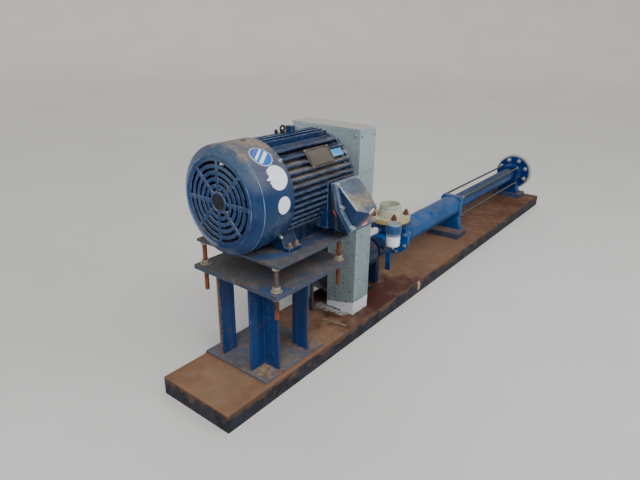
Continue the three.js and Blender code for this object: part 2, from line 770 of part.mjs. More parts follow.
function addSuction() {

	const { y, z } = PUMP;
	const s = SUCTION;
	const i = INLET;
	const flangeStart = s.x1;
	const flangeEnd = s.x1 + JOINT_FLANGE.thickness;
	const under = i.face - i.thickness;
	const barrel = join(
		rodX( s.x0, flangeStart + 2, s.radius, y, z ),
		rodX( flangeStart, flangeEnd, JOINT_FLANGE.radius, y, z ),
		rodZ( z + s.neckStart, under + i.thickness / 2, i.neck, i.x, y, 32 ),
		rodZ( under, i.face, i.radius, i.x, y, 40 ),
		box( s.x0, s.x0 + s.foot, y - s.footHalf, y + s.footHalf, DECK, DECK + s.footHeight ),
		box( s.x1 - s.leg.start, s.x1 - s.leg.end, y + s.leg.y0, y + s.leg.y1, DECK, z - s.chamber - 4 ),
		lubricatorBoss()
	);
	const chamber = rodX( s.x0 + s.endWall, flangeEnd + OVERCUT, s.chamber, y, z );
	const inletBore = rodZ( z + s.boreStart, i.face + OVERCUT, i.bore - 1, i.x, y, 32 );
	const shaftRadius = PUMP_SHAFT_RADIUS + ROD_CLEARANCE;
	const shaftBore = rodX( s.x0 - OVERCUT, s.x0 + s.endWall + OVERCUT, shaftRadius, y, z, 24 );
	add( 'suction_casing', cut( barrel, chamber, inletBore, shaftBore ), pumpBlue );

	const top = i.face + i.rise;
	const neck = [
		[ i.face, i.bore ], [ i.face, i.radius ], [ i.face + i.thickness, i.radius ],
		[ i.face + i.thickness, i.hub ], [ top - WELD_LAND, i.pipe ], [ top, i.pipe ], [ top, i.bore ],
		[ i.face, i.bore ]
	];
	add( 'inlet_companion_flange', roundZ( neck, i.x, y, 40 ), paleCream );

}

function supportPlate( x0, x1 ) {

	// A square plate with cut corners, wide enough for the four tie rods.

	const { y, z } = PUMP;
	const half = SUPPORT.halfPlate;
	const inner = half - SUPPORT.chamfer;
	const corners = [
		[ - half, - inner ], [ - inner, - half ], [ inner, - half ], [ half, - inner ],
		[ half, inner ], [ inner, half ], [ - inner, half ], [ - half, inner ]
	];
	return prismX( corners.map( ( [ u, v ] ) => [ y + u, z + v ] ), x0, x1 );

}

function supportFoot( x0, x1 ) {

	const { y, z } = PUMP;
	const bottom = DECK + PAD.height;
	const wide = SUPPORT.halfFoot;
	const narrow = SUPPORT.halfPlate - SUPPORT.chamfer;
	const edge = bottom + SUPPORT.footEdge;
	const top = z - SUPPORT.shoulder;
	const section = [
		[ y - wide, bottom ], [ y + wide, bottom ], [ y + wide, edge ], [ y + narrow, top ],
		[ y - narrow, top ], [ y - wide, edge ]
	];
	return prismX( section, x0, x1 );

}

function tieRodPlaces() {

	const corners = [ [ - 1, - 1 ], [ - 1, 1 ], [ 1, - 1 ], [ 1, 1 ] ];
	return corners.map( ( [ u, v ] ) => [ PUMP.y + u * TIE_ROD.offset, PUMP.z + v * TIE_ROD.offset ] );

}

function tieRodHoles( x0, x1 ) {

	const radius = TIE_ROD.radius + TIE_ROD.clearance;
	return tieRodPlaces().map( ( [ y, z ] ) => rodX( x0 - OVERCUT, x1 + OVERCUT, radius, y, z, 16 ) );

}

function addStator() {

	const { y, z } = PUMP;
	const { x0, x1 } = MID_SUPPORT;
	const plate = join( supportPlate( x0, x1 ), supportFoot( x0, x1 ) );
	const bore = rodX( x0 - OVERCUT, x1 + OVERCUT, STATOR.lining, y, z );
	add( 'mid_support', cut( plate, bore, ...tieRodHoles( x1 - TIE_ROD.depth + OVERCUT, x1 ) ), pumpBlue );
	add( 'mid_support_pad', box( ...MID_PAD_X, PAD.y0, PAD.y1, DECK, DECK + PAD.height ), railPaint );
	add( 'stator_tube', ringX( x1, STATOR.x1, STATOR.lining, STATOR.radius, y, z ), pumpBlue );

	const from = x1 - TIE_ROD.depth + SEAT_GAP;
	const to = END_CASTING.x0 + END_CASTING.plate + TIE_ROD.overhang;
	tieRodPlaces().forEach( ( [ v, w ], index ) => {

		add( `tie_rod_${ index + 1 }`, rodX( from, to, TIE_ROD.radius, v, w, 12 ), darkSteel );

	} );

}

function addEnd() {

	const { y, z } = PUMP;
	const e = END_CASTING;
	const plateEnd = e.x0 + e.plate;
	const flareEnd = plateEnd + e.flare;
	const footStart = plateEnd + e.footInset;
	const body = [
		[ e.x0, 0 ], [ e.x0, e.throat ], [ plateEnd, e.throat ], [ flareEnd, e.radius ], [ e.x1, e.radius ],
		[ e.x1, 0 ]
	];
	const shell = join(
		supportPlate( e.x0, plateEnd ),
		roundX( body, y, z ),
		rodX( e.x1 - e.thickness, e.x1, e.flange, y, z ),
		supportFoot( footStart, footStart + e.footLength )
	);
	const waterWay = roundX( [
		[ plateEnd, 0 ], [ plateEnd, STATOR.radius ], [ flareEnd, COMPANION.bore - 3 ],
		[ e.x1 + OVERCUT, COMPANION.bore - 3 ], [ e.x1 + OVERCUT, 0 ]
	], y, z );
	const liningBore = rodX( e.x0 - OVERCUT, plateEnd + OVERCUT, STATOR.lining, y, z );
	add( 'end_casting', cut( shell, waterWay, liningBore, ...tieRodHoles( e.x0, plateEnd ) ), pumpBlue );
	add( 'end_support_pad', box( ...END_PAD_X, PAD.y0, PAD.y1, DECK, DECK + PAD.height ), railPaint );

	const c = COMPANION;
	const neckStart = e.x1 + c.thickness;
	const neckEnd = e.x1 + c.length;
	const neck = [
		[ e.x1, c.bore ], [ e.x1, c.flange ], [ neckStart, c.flange ], [ neckStart, c.hub ],
		[ neckEnd - WELD_LAND, c.pipe ], [ neckEnd, c.pipe ], [ neckEnd, c.bore ], [ e.x1, c.bore ]
	];
	add( 'outlet_companion_flange', roundX( neck, y, z ), paleCream );

}

function rotor() {

	// The single-start helix that turns inside the stator: a round bar, each slice shifted off the axis.

	const from = MID_SUPPORT.x0 - ROTOR.overhang;
	const to = END_CASTING.x0 + ROTOR.overhang;
	const slices = Math.round( 12 * ( to - from ) / ROTOR.pitch );
	const bar = new THREE.CylinderGeometry( ROTOR.radius, ROTOR.radius, to - from, 16, slices );
	bar.rotateZ( - Math.PI / 2 );
	bar.translate( ( from + to ) / 2, PUMP.y, PUMP.z );
	const position = bar.attributes.position;

	for ( let i = 0; i < position.count; i ++ ) {

		const angle = 2 * Math.PI * ( position.getX( i ) - from ) / ROTOR.pitch;
		position.setY( i, position.getY( i ) + ROTOR.throw * Math.cos( angle ) );
		position.setZ( i, position.getZ( i ) + ROTOR.throw * Math.sin( angle ) );

	}

	return closed( bar );

}

function rodY( y0, y1, radius, x, z, segments = 16 ) {

	// A round bar along Y, for the lubricator's fitting.

	const bar = new THREE.CylinderGeometry( radius, radius, y1 - y0, segments );
	return closed( bar.translate( x, ( y0 + y1 ) / 2, z ) );

}

function lubricatorBoss() {

	return rodY( LUBRICATOR.seat, PUMP.y - 20, LUBRICATOR.bossRadius, LUBRICATOR.x, LUBRICATOR.fitting );

}

function addLubricator() {

	// A cartridge screwed on an elbow that comes out of the casing's boss.

	const { x, y, fitting, body, cap, top, capRadius, bodyRadius, bevel, seat, elbowRadius } = LUBRICATOR;
	const cup = [
		[ body - bevel, 0 ], [ body - bevel, bodyRadius / 2 ], [ body, bodyRadius ], [ cap, bodyRadius ],
		[ cap + 1, capRadius ], [ top - bevel, capRadius ], [ top, capRadius - bevel ], [ top, 0 ]
	];
	const elbow = join(
		rodZ( fitting - elbowRadius, body, elbowRadius, x, y, 16 ),
		rodY( y, seat, elbowRadius - 1, x, fitting )
	);
	add( 'lubricator', join( roundZ( cup, x, y, 24 ), elbow ), whitePlastic );

}

addSkid();
addStand();
addMotor();
addDrive();
addPump();

export default pump;
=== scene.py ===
"""Looks of the belt-driven screw pump on its skid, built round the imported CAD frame. Metres, +Z up."""

from fnmatch import filter as matching
from math import cos, exp, pi, radians, sin

import bmesh
import bpy
from mathutils import Matrix, Vector


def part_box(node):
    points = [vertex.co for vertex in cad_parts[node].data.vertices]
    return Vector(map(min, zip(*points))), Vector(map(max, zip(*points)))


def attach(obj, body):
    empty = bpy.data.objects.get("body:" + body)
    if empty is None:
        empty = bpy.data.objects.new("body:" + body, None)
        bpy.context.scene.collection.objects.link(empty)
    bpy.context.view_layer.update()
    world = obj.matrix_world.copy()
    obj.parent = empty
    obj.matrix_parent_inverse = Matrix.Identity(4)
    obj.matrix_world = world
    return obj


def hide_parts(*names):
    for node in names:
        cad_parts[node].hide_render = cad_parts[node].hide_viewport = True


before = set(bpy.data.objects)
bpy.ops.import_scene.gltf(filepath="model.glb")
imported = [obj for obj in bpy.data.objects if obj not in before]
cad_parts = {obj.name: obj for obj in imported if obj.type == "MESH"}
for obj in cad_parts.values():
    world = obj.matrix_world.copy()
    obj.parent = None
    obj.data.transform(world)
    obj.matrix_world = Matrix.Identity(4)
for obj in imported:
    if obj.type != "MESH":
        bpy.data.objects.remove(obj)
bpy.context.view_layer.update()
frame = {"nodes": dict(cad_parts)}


# Places and directions

def at(x, y, z):
    return Vector((x, y, z))


X, Y, Z = at(1, 0, 0), at(0, 1, 0), at(0, 0, 1)
DECK = 0.08
MOTOR_Y, MOTOR_Z = -0.008, 0.808
PUMP_Y, PUMP_Z = 0.026, 0.277
INLET_X = -0.372
# The joint between the suction casing and the casing tube
JOINT = (-0.31, PUMP_Y, PUMP_Z)
COWL_RADIUS = 0.203
# Middle radii of the cowl's round bars, which have its slots between them
COWL_BARS = (0.059, 0.0825, 0.106, 0.1295)
# Place along X and degrees round the motor from straight up
BLUE_STICKER = (-1.541, 125.2)
# The conduit box: its two sides, its flange's thickness, and three points down its bent seam
CONDUIT_X = (-1.256, -1.092)
CONDUIT_FLANGE = 0.021
SEAM = (at(0, -0.213, 0.834), at(0, -0.241, 0.731), at(0, -0.303, 0.649))
SEAM_UPPER, SEAM_LOWER = (SEAM[1] - SEAM[0]).length, (SEAM[2] - SEAM[1]).length


def motor_place(x, height=0.0, level=0.0):
    return at(x, MOTOR_Y + level, MOTOR_Z + height)


def around_motor(x, radius, degrees):
    t = radians(degrees)
    return motor_place(x, radius * sin(t), radius * cos(t))


def pump_place(x):
    return at(x, PUMP_Y, PUMP_Z)


def seam_axes(down):
    """The way down and the way off the conduit box's bent seam, at some distance down it."""
    run = (SEAM[1] - SEAM[0] if down <= SEAM_UPPER else SEAM[2] - SEAM[1]).normalized()
    return run, at(0, run.z, -run.y)


def on_seam(x, down, out=0.0):
    """A place by the seam: how far down it and how far off it."""
    run, off = seam_axes(down)
    start, past = (SEAM[0], 0.0) if down <= SEAM_UPPER else (SEAM[1], SEAM_UPPER)
    return X * x + start + run * (down - past) + off * out


def side_axes(way):
    """Two unit vectors square to a direction, the first as level as it can be."""
    first = Z.cross(way)
    if first.length < 1e-6:
        first = X.copy()
    first.normalize()
    return first, way.cross(first)


def outward(way, angle):
    """The way out from an axis, at an angle about it."""
    first, second = side_axes(way)
    return first * cos(angle) + second * sin(angle)


def turns(count, start=0.0):
    """Evenly spaced angles of one full turn; start is a share of the first step."""
    return [2 * pi * (i + start) / count for i in range(count)]


def circle(centre, way, radius, count, start=0.0):
    return [centre + outward(way, t) * radius for t in turns(count, start)]


def rectangle(x0, x1, y0, y1, z):
    return [at(x0, y0, z), at(x1, y0, z), at(x1, y1, z), at(x0, y1, z)]


def set_up(made, **settings):
    for key, value in settings.items():
        setattr(made, key, value)
    return made


def show(name, data):
    """A new object in the scene."""
    made = bpy.data.objects.new(name, data)
    bpy.context.scene.collection.objects.link(made)
    return made


def make_camera():
    """At the photograph's viewing angle: a lens, a place and three axes from a fit."""
    data = bpy.data.cameras.new("camera")
    camera = show("camera", set_up(data, lens=29.265, sensor_width=36.0, clip_start=0.02))
    right = at(0.61574, -0.78782, 0.01436)
    down = at(-0.28202, -0.23736, -0.92958)
    forward = at(0.73575, 0.56834, -0.36833)
    turn = Matrix((right, -down, -forward)).transposed().to_4x4()
    camera.matrix_world = Matrix.Translation((-2.8027, -1.36, 1.3644)) @ turn
    bpy.context.scene.camera = camera


# Procedural materials

RUST = "3e2419 8a5638"
DUST = "93877a"
# For each kind of blot: noise scale times reach, how ragged its rim is, and the solid share of its reach
BLOTS = {"chip": (1.1, 0.75, 0.8), "scrape": (0.6, 0.3, 0.75), "soft": (0.5, 0.45, 0.35),
         "film": (0.5, 0.45, 0.35)}


def rgb(text, share=1.0):
    """A hex colour as linear RGBA, or a darker share of it."""
    parts = [int(text[i:i + 2], 16) / 255 for i in (0, 2, 4)]
    return [(c / 12.92 if c <= 0.04045 else ((c + 0.055) / 1.055) ** 2.4) * share for c in parts] + [1.0]


class Finish:
    """A material's node graph. Every pattern is placed by the part's own coordinates."""

    def __init__(self, name, metallic=0.0, shine=0.5):
        self.material = bpy.data.materials.new(name)
        self.material.use_nodes = True
        self.tree = self.material.node_tree
        self.shader = self.tree.nodes["Principled BSDF"]
        self.shader.inputs["Metallic"].default_value = metallic
        self.shader.inputs["Specular IOR Level"].default_value = shine
        self.place = self.node("ShaderNodeTexCoord").outputs["Object"]
        self.normal = self.node("ShaderNodeNewGeometry").outputs["Normal"]
        self.x, self.y, self.z = self.node("ShaderNodeSeparateXYZ", self.place).outputs
        self.up = self.node("ShaderNodeSeparateXYZ", self.normal).outputs[2]
        self.colour = None

    def node(self, kind, *values, **settings):
        """A new node. The values go to its sockets in order, and None leaves a socket as it is."""
        made = set_up(self.tree.nodes.new(kind), **settings)
        for socket, value in zip(made.inputs, values):
            self.feed(socket, value)
        return made

    def feed(self, socket, value):
        if isinstance(value, bpy.types.Node):
            value = value.outputs[0]
        if isinstance(value, bpy.types.NodeSocket):
            self.tree.links.new(value, socket)
        elif value is not None:
            socket.default_value = value

    def math(self, operation, a, b):
        return self.node("ShaderNodeMath", a, b, operation=operation).outputs[0]

    def both(self, a, b):
        return self.math("MULTIPLY", a, b)

    def either(self, a, b):
        return self.math("MAXIMUM", a, b)

    def add(self, a, b):
        return self.math("ADD", a, b)

    def distance(self, value, place):
        return self.math("ABSOLUTE", self.add(value, -place), 0)

    def vector(self, operation, a, b):
        made = self.node("ShaderNodeVectorMath", a, b, operation=operation)
        return made.outputs["Value" if operation in ("DISTANCE", "DOT_PRODUCT") else "Vector"]

    def noise(self, scale, detail, roughness=0.55, stretch=None):
        place = self.vector("MULTIPLY", self.place, stretch) if stretch else self.place
        return self.node("ShaderNodeTexNoise", place, None, scale, detail, roughness).outputs["Fac"]

    def span(self, value, low, high, start=0.0, end=1.0):
        """Goes smoothly from start to end as the value goes from low to high."""
        made = self.node("ShaderNodeMapRange", value, low, high, start, end)
        made.interpolation_type = "SMOOTHSTEP"
        return made.outputs[0]

    def cloud(self, grain, *levels):
        """Noise of some grain, spread over these levels as span says."""
        return self.span(self.noise(*grain), *levels)

    def mix(self, factor, a, b):
        made = self.node("ShaderNodeMix", data_type="RGBA")
        self.feed(made.inputs[0], factor)
        self.feed(made.inputs[6], rgb(a) if isinstance(a, str) else a)
        self.feed(made.inputs[7], rgb(b) if isinstance(b, str) else b)
        return made.outputs[2]

    def lay(self, factor, tone):
        """Lays a tone over the colour so far."""
        self.colour = self.mix(factor, self.colour, tone)

    def blot(self, start, end, reach, kind):
        """1 inside a blot round the line from start to end, 0 outside it. A film lies on what looks up."""
        run = Vector(end) - Vector(start)
        if run.length < 1e-4:
            run = X * 1e-4
        from_start = self.vector("SUBTRACT", self.place, tuple(start))
        share = self.vector("DOT_PRODUCT", from_start, tuple(run / run.length_squared))
        share = self.node("ShaderNodeClamp", share)
        near = self.node("ShaderNodeVectorMath", tuple(run), operation="SCALE")
        self.feed(near.inputs["Scale"], share)
        away = self.vector("DISTANCE", from_start, near)
        scale, ragged, core = BLOTS[kind]
        rim = self.cloud((scale / reach, 6, 0.68), 0.3, 0.7, -ragged * reach, ragged * reach)
        inside = self.span(self.add(away, rim), reach, reach * core)
        return self.both(inside, self.span(self.up, 0.15, 0.45)) if kind == "film" else inside

    def lay_blots(self, blots):
        """Each blot is what blot() takes, and two tones."""
        for *place, tones in blots:
            self.lay(self.blot(*place), self.mix(self.cloud((70, 5), 0.4, 0.6), *tones.split()))

    def edges(self, radius):
        """Rises from 0 on flat ground to 1 on an edge or in a corner."""
        rounded = self.node("ShaderNodeBevel", radius, samples=4)
        return self.span(self.vector("DOT_PRODUCT", rounded, self.normal), 0.985, 0.86)

    def done(self, roughness, height, strength, depth, edge=0.0012):
        """Joins all to the shader, with bump from a height and edges rounded to a small radius."""
        bump = self.node("ShaderNodeBump")
        for socket, value in (("Strength", strength), ("Distance", depth), ("Height", height)):
            self.feed(bump.inputs[socket], value)
        if edge:
            self.feed(bump.inputs["Normal"], self.node("ShaderNodeBevel", edge, samples=4))
        for socket, value in (("Base Color", self.colour), ("Roughness", roughness), ("Normal", bump)):
            self.feed(self.shader.inputs[socket], value)
        return self.material


def painted(name, tones, gloss=0.42, dust=0.6, dusty=DUST, edge_share=0.5, patch=0.3, rust=RUST, bare=None,
            runs=0.25, even=0.0, shine=0.24, between=None, highlight_lines=(), blots=()):
    """Brushed or sprayed paint: uneven tone, scuffs, rusty edges and patches, and a film of dust where it
    faces up, thickest between two heights where asked, with runs of it down the sides. Where a bare tone is
    given, edges take it in place of rust: rubbed paint, and on the motor and the conduit's flange a painted
    highlight too. Each highlight line is a painted highlight: a place along X, a half width and a tone."""
    f = Finish(name, shine=shine)
    first, second, third = tones.split()
    f.colour = f.mix(f.cloud((4, 3), 0.36, 0.64), first, second)
    f.lay(f.both(f.cloud((34, 6, 0.68), 0.5, 0.72), f.cloud((7, 2), 0.4, 0.7)), third)
    edge_mask = f.both(f.edges(0.0035), f.cloud((38, 5, 0.6), 0.6 - 0.3 * edge_share, 0.8 - 0.3 * edge_share))
    # Edges in the bare tone: rubbed paint, and on the motor and the conduit's flange a painted highlight
    # too.
    if bare:
        f.lay(edge_mask, bare)
    spots = f.cloud((13, 8, 0.66), 0.78 - 0.38 * patch, 0.86 - 0.38 * patch)
    rusted = spots if bare else f.either(edge_mask, spots)
    f.lay(rusted, f.mix(f.cloud((90, 5), 0.35, 0.65), *rust.split()))
    streak = f.cloud((24, 5, 0.62, (1, 1, 0.06)), 0.5, 0.76, 0.0, runs)
    film = f.cloud((11, 6, 0.64), 0.3, 0.7, dust - 0.42 * (1 - even), dust + 0.26 * (1 - even))
    if between:
        low, high = between
        above, below = f.span(f.z, low - 0.03, low + 0.03, 0.3), f.span(f.z, high + 0.02, high - 0.02, 0.25)
        film = f.both(film, f.both(above, below))
    settled = f.either(f.both(f.span(f.up, 0.1, 0.9), film), f.both(f.span(f.up, 0.7, 0.2), streak))
    f.lay(settled, f.mix(f.cloud((60, 4), 0.35, 0.65), dusty, rgb(dusty, 0.72)))
    # Painted highlights: a lighter tone in a narrow ring round X at each place.
    for place, half, tone in highlight_lines:
        away = f.distance(f.x, place)
        patchy = f.cloud((26, 4), 0.28, 0.56, 0.15, 0.75)
        f.lay(f.both(f.span(away, half, half * 0.4), patchy), tone)
    f.lay_blots(blots)
    rough = f.span(f.either(rusted, settled), 0, 1, gloss, 0.8)
    rough = f.add(rough, f.cloud((22, 4), 0.3, 0.7, -0.06, 0.08))
    height = f.add(f.both(f.noise(160, 3), 0.25), f.both(rusted, f.noise(240, 5)))
    return f.done(rough, height, 0.35, 0.0012)


def rusty(name, tones, metallic=0.15, gloss=0.72, stain=None, low=None, dust=0.0, dusty=DUST, far=None,
          blots=()):
    """Bare steel gone to rust: three tones, pits and dust, and where asked an oily stain, blots, a lower
    band of old paint or a tone that takes over towards the discharge end."""
    f = Finish(name, metallic, 0.35)
    first, second, third = tones.split()
    f.colour = f.mix(f.cloud((3.2, 5, 0.6), 0.38, 0.62), first, second)
    f.lay(f.cloud((16, 7, 0.66), 0.45, 0.72), third)
    f.lay(f.cloud((95, 5, 0.7), 0.52, 0.75), rgb(first, 0.55))
    rough = f.cloud((24, 5), 0.3, 0.7, gloss - 0.08, gloss + 0.14)
    if dust:
        film = f.cloud((5.5, 7, 0.66), 0.3, 0.7, dust - 0.3, dust + 0.25)
        f.lay(f.both(f.span(f.up, 0.3, 0.9), film), f.mix(f.noise(45, 5), dusty, rgb(dusty, 0.7)))
    if far:
        f.lay(f.both(f.span(f.x, -0.7, 1.5), f.cloud((6, 6, 0.66), 0.3, 0.6, 0.35, 0.95)), far)
    if low:
        ragged = f.add(f.z, f.cloud((20, 6, 0.65, (0.5, 1, 1)), 0.25, 0.75, -0.03, 0.03))
        band = f.both(f.span(ragged, 0.066, 0.05), f.cloud((30, 6, 0.7), 0.3, 0.48))
        f.lay(band, f.mix(f.cloud((12, 4), 0.4, 0.65), *low.split()))
    if stain:
        x, y, reach, oil = stain
        away = f.vector("DISTANCE", f.place, (x, y, DECK))
        ragged = f.add(away, f.cloud((7, 6, 0.62), 0.2, 0.8, -0.2, 0.2))
        wet = f.span(ragged, reach, reach * 0.45)
        f.lay(wet, f.mix(f.noise(40, 5), *oil.split()))
        rough = f.node("ShaderNodeMapRange", wet, 0, 1, rough, 0.42).outputs[0]
    f.lay_blots(blots)
    height = f.add(f.noise(70, 8, 0.7), f.both(f.noise(9, 4), 1.2))
    return f.done(rough, height, 0.5, 0.0018)


def metal(name, tones, rough, metallic, scale=1.0, dust=0.0, grain=0.2):
    """Plated, cast or machined metal with dull patches."""
    f = Finish(name, metallic)
    first, second, third = tones.split()
    f.colour = f.mix(f.cloud((26 * scale, 6, 0.65), 0.38, 0.66), first, second)
    f.lay(f.cloud((75 * scale, 5, 0.7), 0.6, 0.74), third)
    settled = f.both(f.span(f.up, 0.3, 0.95), f.cloud((30, 5), 0.3, 0.7, 0.0, dust))
    f.lay(settled, DUST)
    roughness = f.add(f.cloud((40 * scale, 5), 0.3, 0.7, *rough), f.both(settled, 0.4))
    return f.done(roughness, f.noise(220, 4), grain, 0.0006)


def galvanised():
    """Hot-dip zinc sheet: fine spangle, dark pits, pale runs, dust on top, a dripped white band and rust
    below it, with painted shade darkening it towards the bottom and painted light towards the top."""
    f = Finish("galvanised_sheet", 0.35, 0.4)
    wavy = f.vector("ADD", f.place, f.both(f.noise(90, 3), 0.01))
    cells = f.node("ShaderNodeTexVoronoi", wavy, feature="F1")
    cells.inputs["Scale"].default_value = 170.0
    shade = f.node("ShaderNodeSeparateColor", cells.outputs["Color"]).outputs[0]
    f.colour = f.mix(shade, "83949a", "a0b2b8")
    f.lay(f.both(f.cloud((3.0, 6, 0.62, (1, 1, 0.45)), 0.34, 0.66), 0.55), "8c9a9e")
    f.lay(f.both(f.cloud((30, 5, 0.62, (1, 1, 0.05)), 0.52, 0.74), 0.45), "bccaca")
    f.lay(f.both(f.cloud((62, 6, 0.72), 0.52, 0.66), 0.75), "626d70")
    f.lay(f.cloud((120, 3, 0.6, (1, 1, 0.7)), 0.665, 0.7), "2c3134")
    # Painted shade: darker towards the bottom.
    f.lay(f.span(f.z, 0.6, 0.14, 0.0, 0.32), "66716f")
    # Painted light: lighter towards the top.
    f.lay(f.span(f.z, 0.68, 0.94, 0.0, 0.4), "b4c8ce")
    drips = f.cloud((34, 3, 0.5, (1, 1, 0.04)), 0.35, 0.72, -0.002, 0.01)
    foot = f.add(f.add(f.z, drips), f.cloud((60, 4), 0.3, 0.7, -0.003, 0.003))
    head = f.add(f.add(f.z, f.both(f.y, 0.23)), f.cloud((40, 3), 0.3, 0.7, -0.002, 0.002))
    band = f.both(f.span(foot, 0.0815, 0.085), f.span(head, 0.12, 0.116))
    specks = f.cloud((75, 4, 0.6), 0.66, 0.7)
    f.lay(f.span(foot, 0.086, 0.081), f.mix(f.noise(60, 4), "5a4238", "7d6a5c"))
    f.lay(f.both(band, f.span(specks, 1, 0)), f.mix(f.noise(30, 3), "d3d6dc", "b9bec6"))
    top = f.both(f.span(f.up, 0.5, 0.95), f.cloud((11, 5), 0.15, 0.45, 0.35, 0.85))
    f.lay(top, f.mix(f.noise(26, 5), "b3ab9d", "9c978b"))
    rough = f.add(f.span(shade, 0, 1, 0.42, 0.56), f.both(f.either(band, top), 0.3))
    f.feed(f.shader.inputs["Metallic"], f.span(f.either(band, top), 0, 1, 0.35, 0.0))
    return f.done(rough, f.add(f.both(shade, 0.4), f.noise(8, 3)), 0.12, 0.0012)


def cream():
    """Pale primer on the companion flanges, stained yellow, with rust spots and brown edges."""
    f = Finish("flange_cream", shine=0.4)
    f.colour = f.mix(f.cloud((14, 5), 0.4, 0.62), "b3b8a8", "9fa79c")
    stain = f.cloud((11, 6, 0.65), 0.42, 0.6)
    low = f.both(f.span(f.z, 0.44, 0.415), f.span(f.x, 0.6, 0.5))
    f.lay(f.either(f.both(low, f.cloud((18, 5), 0.3, 0.5)), f.both(stain, 0.4)), "b09a5e")
    rusted = f.cloud((30, 7, 0.68), 0.6, 0.68)
    f.lay(rusted, f.mix(f.noise(90, 4), *RUST.split()))
    edge = f.both(f.edges(0.004), f.cloud((40, 5), 0.46, 0.6))
    f.lay(edge, "6d4c33")
    rough = f.span(f.either(rusted, edge), 0, 1, 0.52, 0.85)
    return f.done(rough, f.add(f.both(f.noise(120, 4), 0.4), rusted), 0.35, 0.001)


def plain(name, tones, gloss, scale=40.0, grain=0.15, dust=0.35):
    """Moulded plastic, rubber or paper: two close tones, fine grain and some dirt."""
    f = Finish(name)
    f.colour = f.mix(f.cloud((scale, 5, 0.6), 0.4, 0.64), *tones.split())
    dirt = f.both(f.cloud((scale * 1.7, 6, 0.7), 0.56, 0.74), dust)
    f.lay(dirt, "6e655c")
    settled = f.both(f.span(f.up, 0.4, 0.95), dust)
    f.lay(settled, DUST)
    rough = f.span(f.either(dirt, settled), 0, 0.6, gloss, 0.85)
    return f.done(rough, f.noise(300, 3), grain, 0.0005)


def blue_sticker():
    """A weathered blue disc with two pale bars and a thin violet one across it, bare of words."""
    f = Finish("sticker_blue", shine=0.4)
    centre = around_motor(BLUE_STICKER[0], 0.2035, BLUE_STICKER[1])
    across = at(0.576, -0.669, -0.469)
    along = f.vector("DOT_PRODUCT", f.place, tuple(across))
    along = f.add(f.add(along, -across.dot(centre)), f.both(f.noise(60, 4), 0.0026))
    inside = f.span(f.vector("DISTANCE", f.place, tuple(centre)), 0.0375, 0.0355)
    f.colour = rgb("2162b6")
    bars = ((-0.024, 0.002, "8d62a8"), (-0.01, 0.0052, "dfe4ea"), (0.0104, 0.0074, "dfe4ea"))
    for middle, half, tone in bars:
        off = f.distance(along, middle)
        f.lay(f.both(inside, f.span(off, half, half - 0.0012)), tone)
    f.lay(f.cloud((120, 5, 0.7), 0.58, 0.68), "5b86bd")
    return f.done(f.cloud((50, 4), 0.3, 0.7, 0.35, 0.6), f.noise(200, 3), 0.2, 0.0004)


OLD_BLUE, DIRT, SILT = "2f466c 3a4a66", "8a7660 6b5747", "8b7f6e 6f675c"
# The pale tone is a paint chip inside the red scrape, and a painted highlight on the nose's top edge.
CHIP_RED, PALE_CHIP_AND_HIGHLIGHT, CHIP_BROWN = "b4524a 98403a", "dcbcb6 c9a29a", "4e3826 6e5138"

